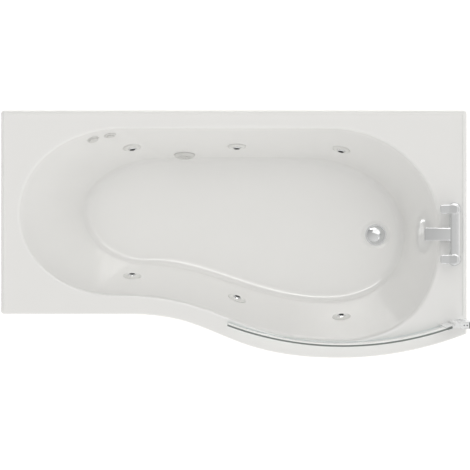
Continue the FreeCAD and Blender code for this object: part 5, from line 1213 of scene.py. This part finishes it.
@dataclass
class DeckFiller:
    """Chrome two-lever deck filler with a flat falling spout."""

    x: float = 757.0
    deck: float = 560.0
    ys: tuple[float, float] = (86.0, -86.0)
    pillar: float = 18.0
    pillar_top: float = 60.0
    pillar_soft: float = 2.2
    ring: float = 23.0
    ring_height: float = 9.0
    ring_step: float = 3.0
    ring_bore: float = 13.2
    ring_soft: float = 1.2
    bar_width: float = 34.0
    bar_low: float = 26.0
    bar_top: float = 57.0
    bar_round: float = 11.0
    spout_reach: float = 104.0
    spout_width: float = 44.0
    spout_root: float = 18.0
    spout_top: float = 54.5
    spout_thick: float = 15.0
    spout_lip: float = 8.0
    spout_fall: float = 17.0
    spout_curl: float = 1.8
    spout_corner: float = 3.0
    collar: float = 15.0
    collar_height: float = 6.0
    collar_soft: float = 0.9
    stem: float = 12.0
    stem_depth: float = 22.0
    lever_front: float = 49.0
    lever_rear: float = 10.0
    lever_width: float = 30.0
    lever_thick: float = 9.0
    lever_rise: float = 5.6
    lever_bend: float = -18.0
    lever_corner: float = 8.0
    lever_soft: float = 2.5
    lever_drop: float = 2.0
    lever_gap: float = 0.5
    spindle: float = 4.0
    spindle_low: float = -18.0
    spindle_top: float = 0.5

    def pair(self, profile: np.ndarray, closed: bool = False) -> list[Patch]:
        """A profile turned on the deck at both pillars."""
        return [lathe(profile, upright(self.x, y, self.deck), closed=closed) for y in self.ys]

    def pillars(self) -> list[Patch]:
        """Two round pillars with softened ends."""
        corners = box((0.0, self.pillar), (self.ring_height, self.pillar_top))
        return self.pair(rounded(corners, self.pillar_soft, 5))

    def bar(self) -> Patch:
        """Carries a rounded section straight from pillar to pillar.

        Returns:
            The bar's surface.
        """
        half = self.bar_width / 2
        section = rounded(box((-half, half), (self.bar_low, self.bar_top)), self.bar_round, 8, closed=True)
        y = np.linspace(self.ys[1], self.ys[0], 9)
        centres = np.stack(np.broadcast_arrays(self.x, y, self.deck), 1)
        side, _, up = np.eye(3)
        return carried(section, centres, np.tile(side, (len(y), 1)), np.tile(up, (len(y), 1)))

    def spout(self) -> Patch:
        """Curls a flat spout down: over the share t of its free length it falls by F t^1.8 and thins with t.

        Returns:
            The spout's surface.
        """
        x = crowded(0.0, -self.spout_reach, 41)
        t = np.clip((-x - self.spout_root) / (self.spout_reach - self.spout_root), 0, 1)
        top = self.spout_top - self.spout_fall * t**self.spout_curl
        thick = self.spout_thick + (self.spout_lip - self.spout_thick) * t
        soft = self.spout_corner * (1 - eased(x, self.spout_corner))
        half = self.spout_width / 2 - soft
        return blade(x, half, top - thick + soft / 2, top - soft, upright(self.x, 0.0, self.deck))

    def base_rings(self) -> list[Patch]:
        """Turns the stepped rings on the deck.

        Returns:
            Both rings.
        """
        bore, ring, top = self.ring_bore, self.ring, self.ring_height
        corners = [(bore, 0.0), (ring, 0.0), (ring, top / 2), (ring - self.ring_step, top), (bore, top)]
        return self.pair(rounded(corners, self.ring_soft, closed=True), closed=True)

    def cartridges(self) -> list[Patch]:
        """Turns the collars over the pillars, with the stems below them.

        Returns:
            Both cartridges.
        """
        low, top = self.pillar_top, self.pillar_top + self.collar_height
        foot = low - self.stem_depth
        stem = [(0.0, foot), (self.stem, foot), (self.stem, low)]
        collar = [(self.collar, low), (self.collar, top), (0.0, top)]
        return self.pair(rounded(stem + collar, self.collar_soft))

    def lever(self, y: float) -> list[Patch]:
        """Shapes a paddle that is level in front and rises behind its bend, with quarter-round corners.

        Args:
            y: Place along the bar.

        Returns:
            The paddle and its spindle.
        """
        low = self.pillar_top + self.collar_height + self.lever_gap
        x = crowded(-self.lever_front, self.lever_rear, 49)
        half = self.lever_width / 2 - self.lever_corner * (1 - eased(x, self.lever_corner))
        climb = np.clip((x - self.lever_bend) / (self.lever_rear - self.lever_bend), 0, 1)
        soft = 1 - eased(x, self.lever_soft)
        top = self.lever_thick + self.lever_rise * climb - self.lever_drop * soft
        spindle = box((0.0, self.spindle), (self.spindle_low, self.spindle_top))
        place = upright(self.x, y, self.deck + low)
        return [blade(x, half, soft, top, place), lathe(np.array(spindle), place, 32)]

    def build(self) -> None:
        """Builds the casting, its rings, collars and both levers."""
        casting = [*self.pillars(), self.bar(), self.spout()]
        add_piece("filler_casting", casting, (CHROME,), "bath", "chrome", ["tap_body"])
        add_piece("filler_rings", self.base_rings(), (CHROME,), "bath", "chrome", ["tap_base_rings"])
        add_piece("filler_collars", self.cartridges(), (CHROME,), "bath", "chrome", ["tap_cartridges"])
        for name, y in zip(("hot_lever", "cold_lever"), self.ys):
            add_piece(f"{name}_paddle", self.lever(y), (CHROME,), name, "chrome", [name])


# Screen


@dataclass
class Screen:
    """Curved toughened glass on the screen's body."""

    centre: tuple[float, float] = (364.0, 729.0)
    radius: float = 1102.0
    hinge_x: float = 747.0
    start: float = 18.6
    width: float = 766.0
    thick: float = 6.0
    low: float = 574.0
    high: float = 1960.0
    arris: float = 1.0
    samples: int = 97

    def glass(self) -> Patch:
        """Carries a tall section along the arc centre + R (sin a, -cos a); top and ends show the cut edge.

        Returns:
            The sheet's surface.
        """
        hinge = math.asin((self.hinge_x - self.centre[0]) / self.radius)
        angle = hinge - (self.start + np.linspace(0, self.width, self.samples)) / self.radius
        out = np.stack(np.broadcast_arrays(np.sin(angle), -np.cos(angle), 0.0), 1)
        centres = np.array([*self.centre, 0.0]) + self.radius * out
        half = self.thick / 2
        section = rounded(box((-half, half), (self.low, self.high)), self.arris, 3, closed=True)
        sheet = carried(section, centres, out, np.tile([0, 0, 1.0], (self.samples, 1)))
        # The top and the ends take the edge's painted shade
        above = section[:, 1] > self.high - 1.01 * self.arris
        sheet.slots = (above & np.roll(above, -1)).astype(int)
        sheet.cap_slot = 1
        return sheet

    def build(self) -> None:
        """Builds the glass."""
        glass, finishes = [self.glass()], (GLASS, GLASS_EDGE_SHADE)
        sheet = add_piece("curved_glass", glass, finishes, "screen", "clear_glass", ["glass_panel"])
        # Thin clear glass hardly dims the bath behind it
        sheet.visible_shadow = False
        sheet.visible_diffuse = False
        sheet.visible_glossy = False


# Everything that keeps its modelled form


@dataclass(frozen=True)
class ShadedBore:
    """An upright bore whose lining is painted dark as the shade inside it, by its plan place and radius."""

    x: float
    y: float
    radius: float

    def lining(self, mesh: bpy.types.Mesh) -> np.ndarray:
        """Finds the steep faces within the bore's radius.

        Args:
            mesh: Mesh that has the bore.

        Returns:
            Whether each face lines the bore.
        """
        steep = 0.5
        centres, normals = np.empty((2, 3 * len(mesh.polygons)))
        mesh.polygons.foreach_get("center", centres)
        mesh.polygons.foreach_get("normal", normals)
        plan = centres.reshape(-1, 3)[:, :2] / MM - (self.x, self.y)
        return (np.hypot(*plan.T) < self.radius) & (np.abs(normals[2::3]) < steep)


@dataclass
class Remainder:
    """Nodes that keep their form: each gets a merged, smooth-shaded copy in its own finish."""

    crease: float = 30.0
    ports: tuple[ShadedBore, ShadedBore] = (ShadedBore(769.0, -304.3, 2.4), ShadedBore(779.0, -304.3, 2.4))

    def build(self) -> None:
        """Dresses every node that no new piece stands for, with painted shade lining the hinge profile's screw
        ports.
        """
        for node, source in frame["nodes"].items():
            if node in DRESSED:
                continue
            mesh = source.data.copy()
            mesh.name = f"{node}_smooth"
            if "custom_normal" in mesh.attributes:
                mesh.attributes.remove(mesh.attributes["custom_normal"])
            mesh.materials.clear()
            tidy(mesh, self.crease, turn=False)
            slot = SLOT_OF[node]
            finishes = [NODE_FINISH.get(node, SLOT_FINISH[slot])]
            if node == "hinge_profile":
                # Painted shade: faces lining the screw ports take black polypropylene so the holes read dark
                dark = np.any([port.lining(mesh) for port in self.ports], axis=0)
                mesh.polygons.foreach_set("material_index", dark.astype(np.int32))
                finishes.append(BLACK_PP)
            piece = add_piece(f"{node}_smooth", mesh, finishes, BODY_OF[node], slot, [node])
            piece.visible_shadow = node != "screen_seals"


# Studio


@dataclass(frozen=True)
class Lamp:
    """A lamp by its size and middle in metres and its watts; a gleam only gives highlights on gloss."""

    name: str
    size: tuple[float, float]
    place: tuple[float, float, float]
    power: float
    gleam: bool = False

    def hang(self, tint: Sequence[float]) -> None:
        """Hangs the lamp so that it faces the bath and isn't seen itself.

        Args:
            tint: Its red, green and blue.
        """
        lamp = bpy.data.lights.new(self.name, "AREA")
        lamp.shape = "RECTANGLE"
        lamp.size, lamp.size_y = self.size
        lamp.energy = self.power
        lamp.color = tint
        holder = bpy.data.objects.new(self.name, lamp)
        holder.location = self.place
        holder.rotation_mode = "QUATERNION"
        holder.rotation_quaternion = holder.location.to_track_quat("Z", "Y")
        holder.visible_camera = False
        holder.visible_diffuse = holder.visible_transmission = not self.gleam
        bpy.context.scene.collection.objects.link(holder)


@dataclass
class Studio:
    """Pale floor, soft light and the camera over the bath, in metres."""

    rim: float = 0.560
    view_width: float = 1.6137
    aim: tuple[float, float] = (0.0038, -0.0026)
    distance: float = 50.0
    sensor: float = 36.0
    floor_half: float = 12.0
    floor_colour: str = "#F4F4F4"
    floor_rough: float = 0.9
    floor_glow: float = 0.55
    sky: tuple[float, float] = (0.138, 0.965)
    sky_pole: tuple[float, float, float] = (0.37, -0.82, 0.44)
    sky_tint: tuple[float, float, float, float] = (1.0, 0.99, 0.97, 1.0)
    # A softbox overhead, a long window on the wall side, and the bright line along the front cove and mouth
    lamps: tuple[Lamp, ...] = (
        Lamp("softbox", (17.0, 10.5), (2.4, 7.2, 18.6), 412.0),
        Lamp("window", (24.0, 5.0), (0.0, 13.6, 14.6), 275.0),
        Lamp("gleam", (21.6, 5.0), (0.0, 12.5, 13.0), 1380.0, gleam=True),
    )
    bounces: int = 12

    def floor(self) -> None:
        """A plain pale sheet under the bath."""
        reach = np.linspace(-self.floor_half, self.floor_half, 3)
        x, y = np.meshgrid(reach, reach, indexing="ij")
        mesh = mesh_of("studio_floor", [Patch(np.stack([x, y, np.zeros_like(x)], -1) / MM, False)])
        material = bpy.data.materials.new("matt_white_sheet")
        material.use_nodes = True
        inputs = material.node_tree.nodes["Principled BSDF"].inputs
        inputs["Base Color"].default_value = linear(self.floor_colour)
        inputs["Roughness"].default_value = self.floor_rough
        inputs["Emission Color"].default_value = (1, 1, 1, 1)
        inputs["Emission Strength"].default_value = self.floor_glow
        mesh.materials.append(material)
        sheet = bpy.data.objects.new("studio_floor", mesh)
        bpy.context.scene.collection.objects.link(sheet)

    def light(self) -> None:
        """A sky that brightens evenly towards its pole, and the lamps."""
        world = bpy.data.worlds.new("studio_sky")
        world.use_nodes = True
        tree = world.node_tree
        way = add_node(tree, "ShaderNodeTexCoord").outputs["Generated"]
        lean = add_node(tree, "ShaderNodeVectorMath", {1: self.sky_pole}, {0: way}, operation="DOT_PRODUCT")
        low, high = self.sky
        span = {"From Min": -1.0, "To Min": low, "To Max": high}
        glow = add_node(tree, "ShaderNodeMapRange", span, {"Value": lean.outputs["Value"]})
        tree.links.new(glow.outputs["Result"], tree.nodes["Background"].inputs["Strength"])
        tree.nodes["Background"].inputs["Color"].default_value = self.sky_tint
        bpy.context.scene.world = world
        for lamp in self.lamps:
            lamp.hang(self.sky_tint[:3])
        # The bowl's white walls pass light to each other many times and so stay nearly as light as the deck
        bpy.context.scene.cycles.diffuse_bounces = self.bounces
        bpy.context.scene.cycles.max_bounces = 2 * self.bounces

    def camera(self) -> None:
        """A long lens straight above, so that the bath fills the frame as a plan."""
        lens = bpy.data.cameras.new("plan_camera")
        lens.sensor_width = self.sensor
        lens.lens = self.sensor * self.distance / self.view_width
        lens.clip_end = 4 * self.distance
        camera = bpy.data.objects.new("plan_camera", lens)
        camera.location = (*self.aim, self.rim + self.distance)
        bpy.context.scene.collection.objects.link(camera)
        bpy.context.scene.camera = camera
        bpy.context.scene.view_settings.view_transform = "Standard"

    def build(self) -> None:
        """Sets the floor, the light and the camera."""
        self.floor()
        self.light()
        self.camera()


def main() -> None:
    """Builds the bath's pieces in order, then the studio."""
    logging.basicConfig(level=logging.INFO, format="%(name)s: %(message)s")
    moulding = Moulding()
    fittings = (Jets(moulding), Suction(moulding), Controls(moulding), Waste(), DeckFiller(), Screen())
    for assembly in (moulding, *fittings, Remainder(), Studio()):
        assembly.build()


if __name__ == "__main__":
    main()
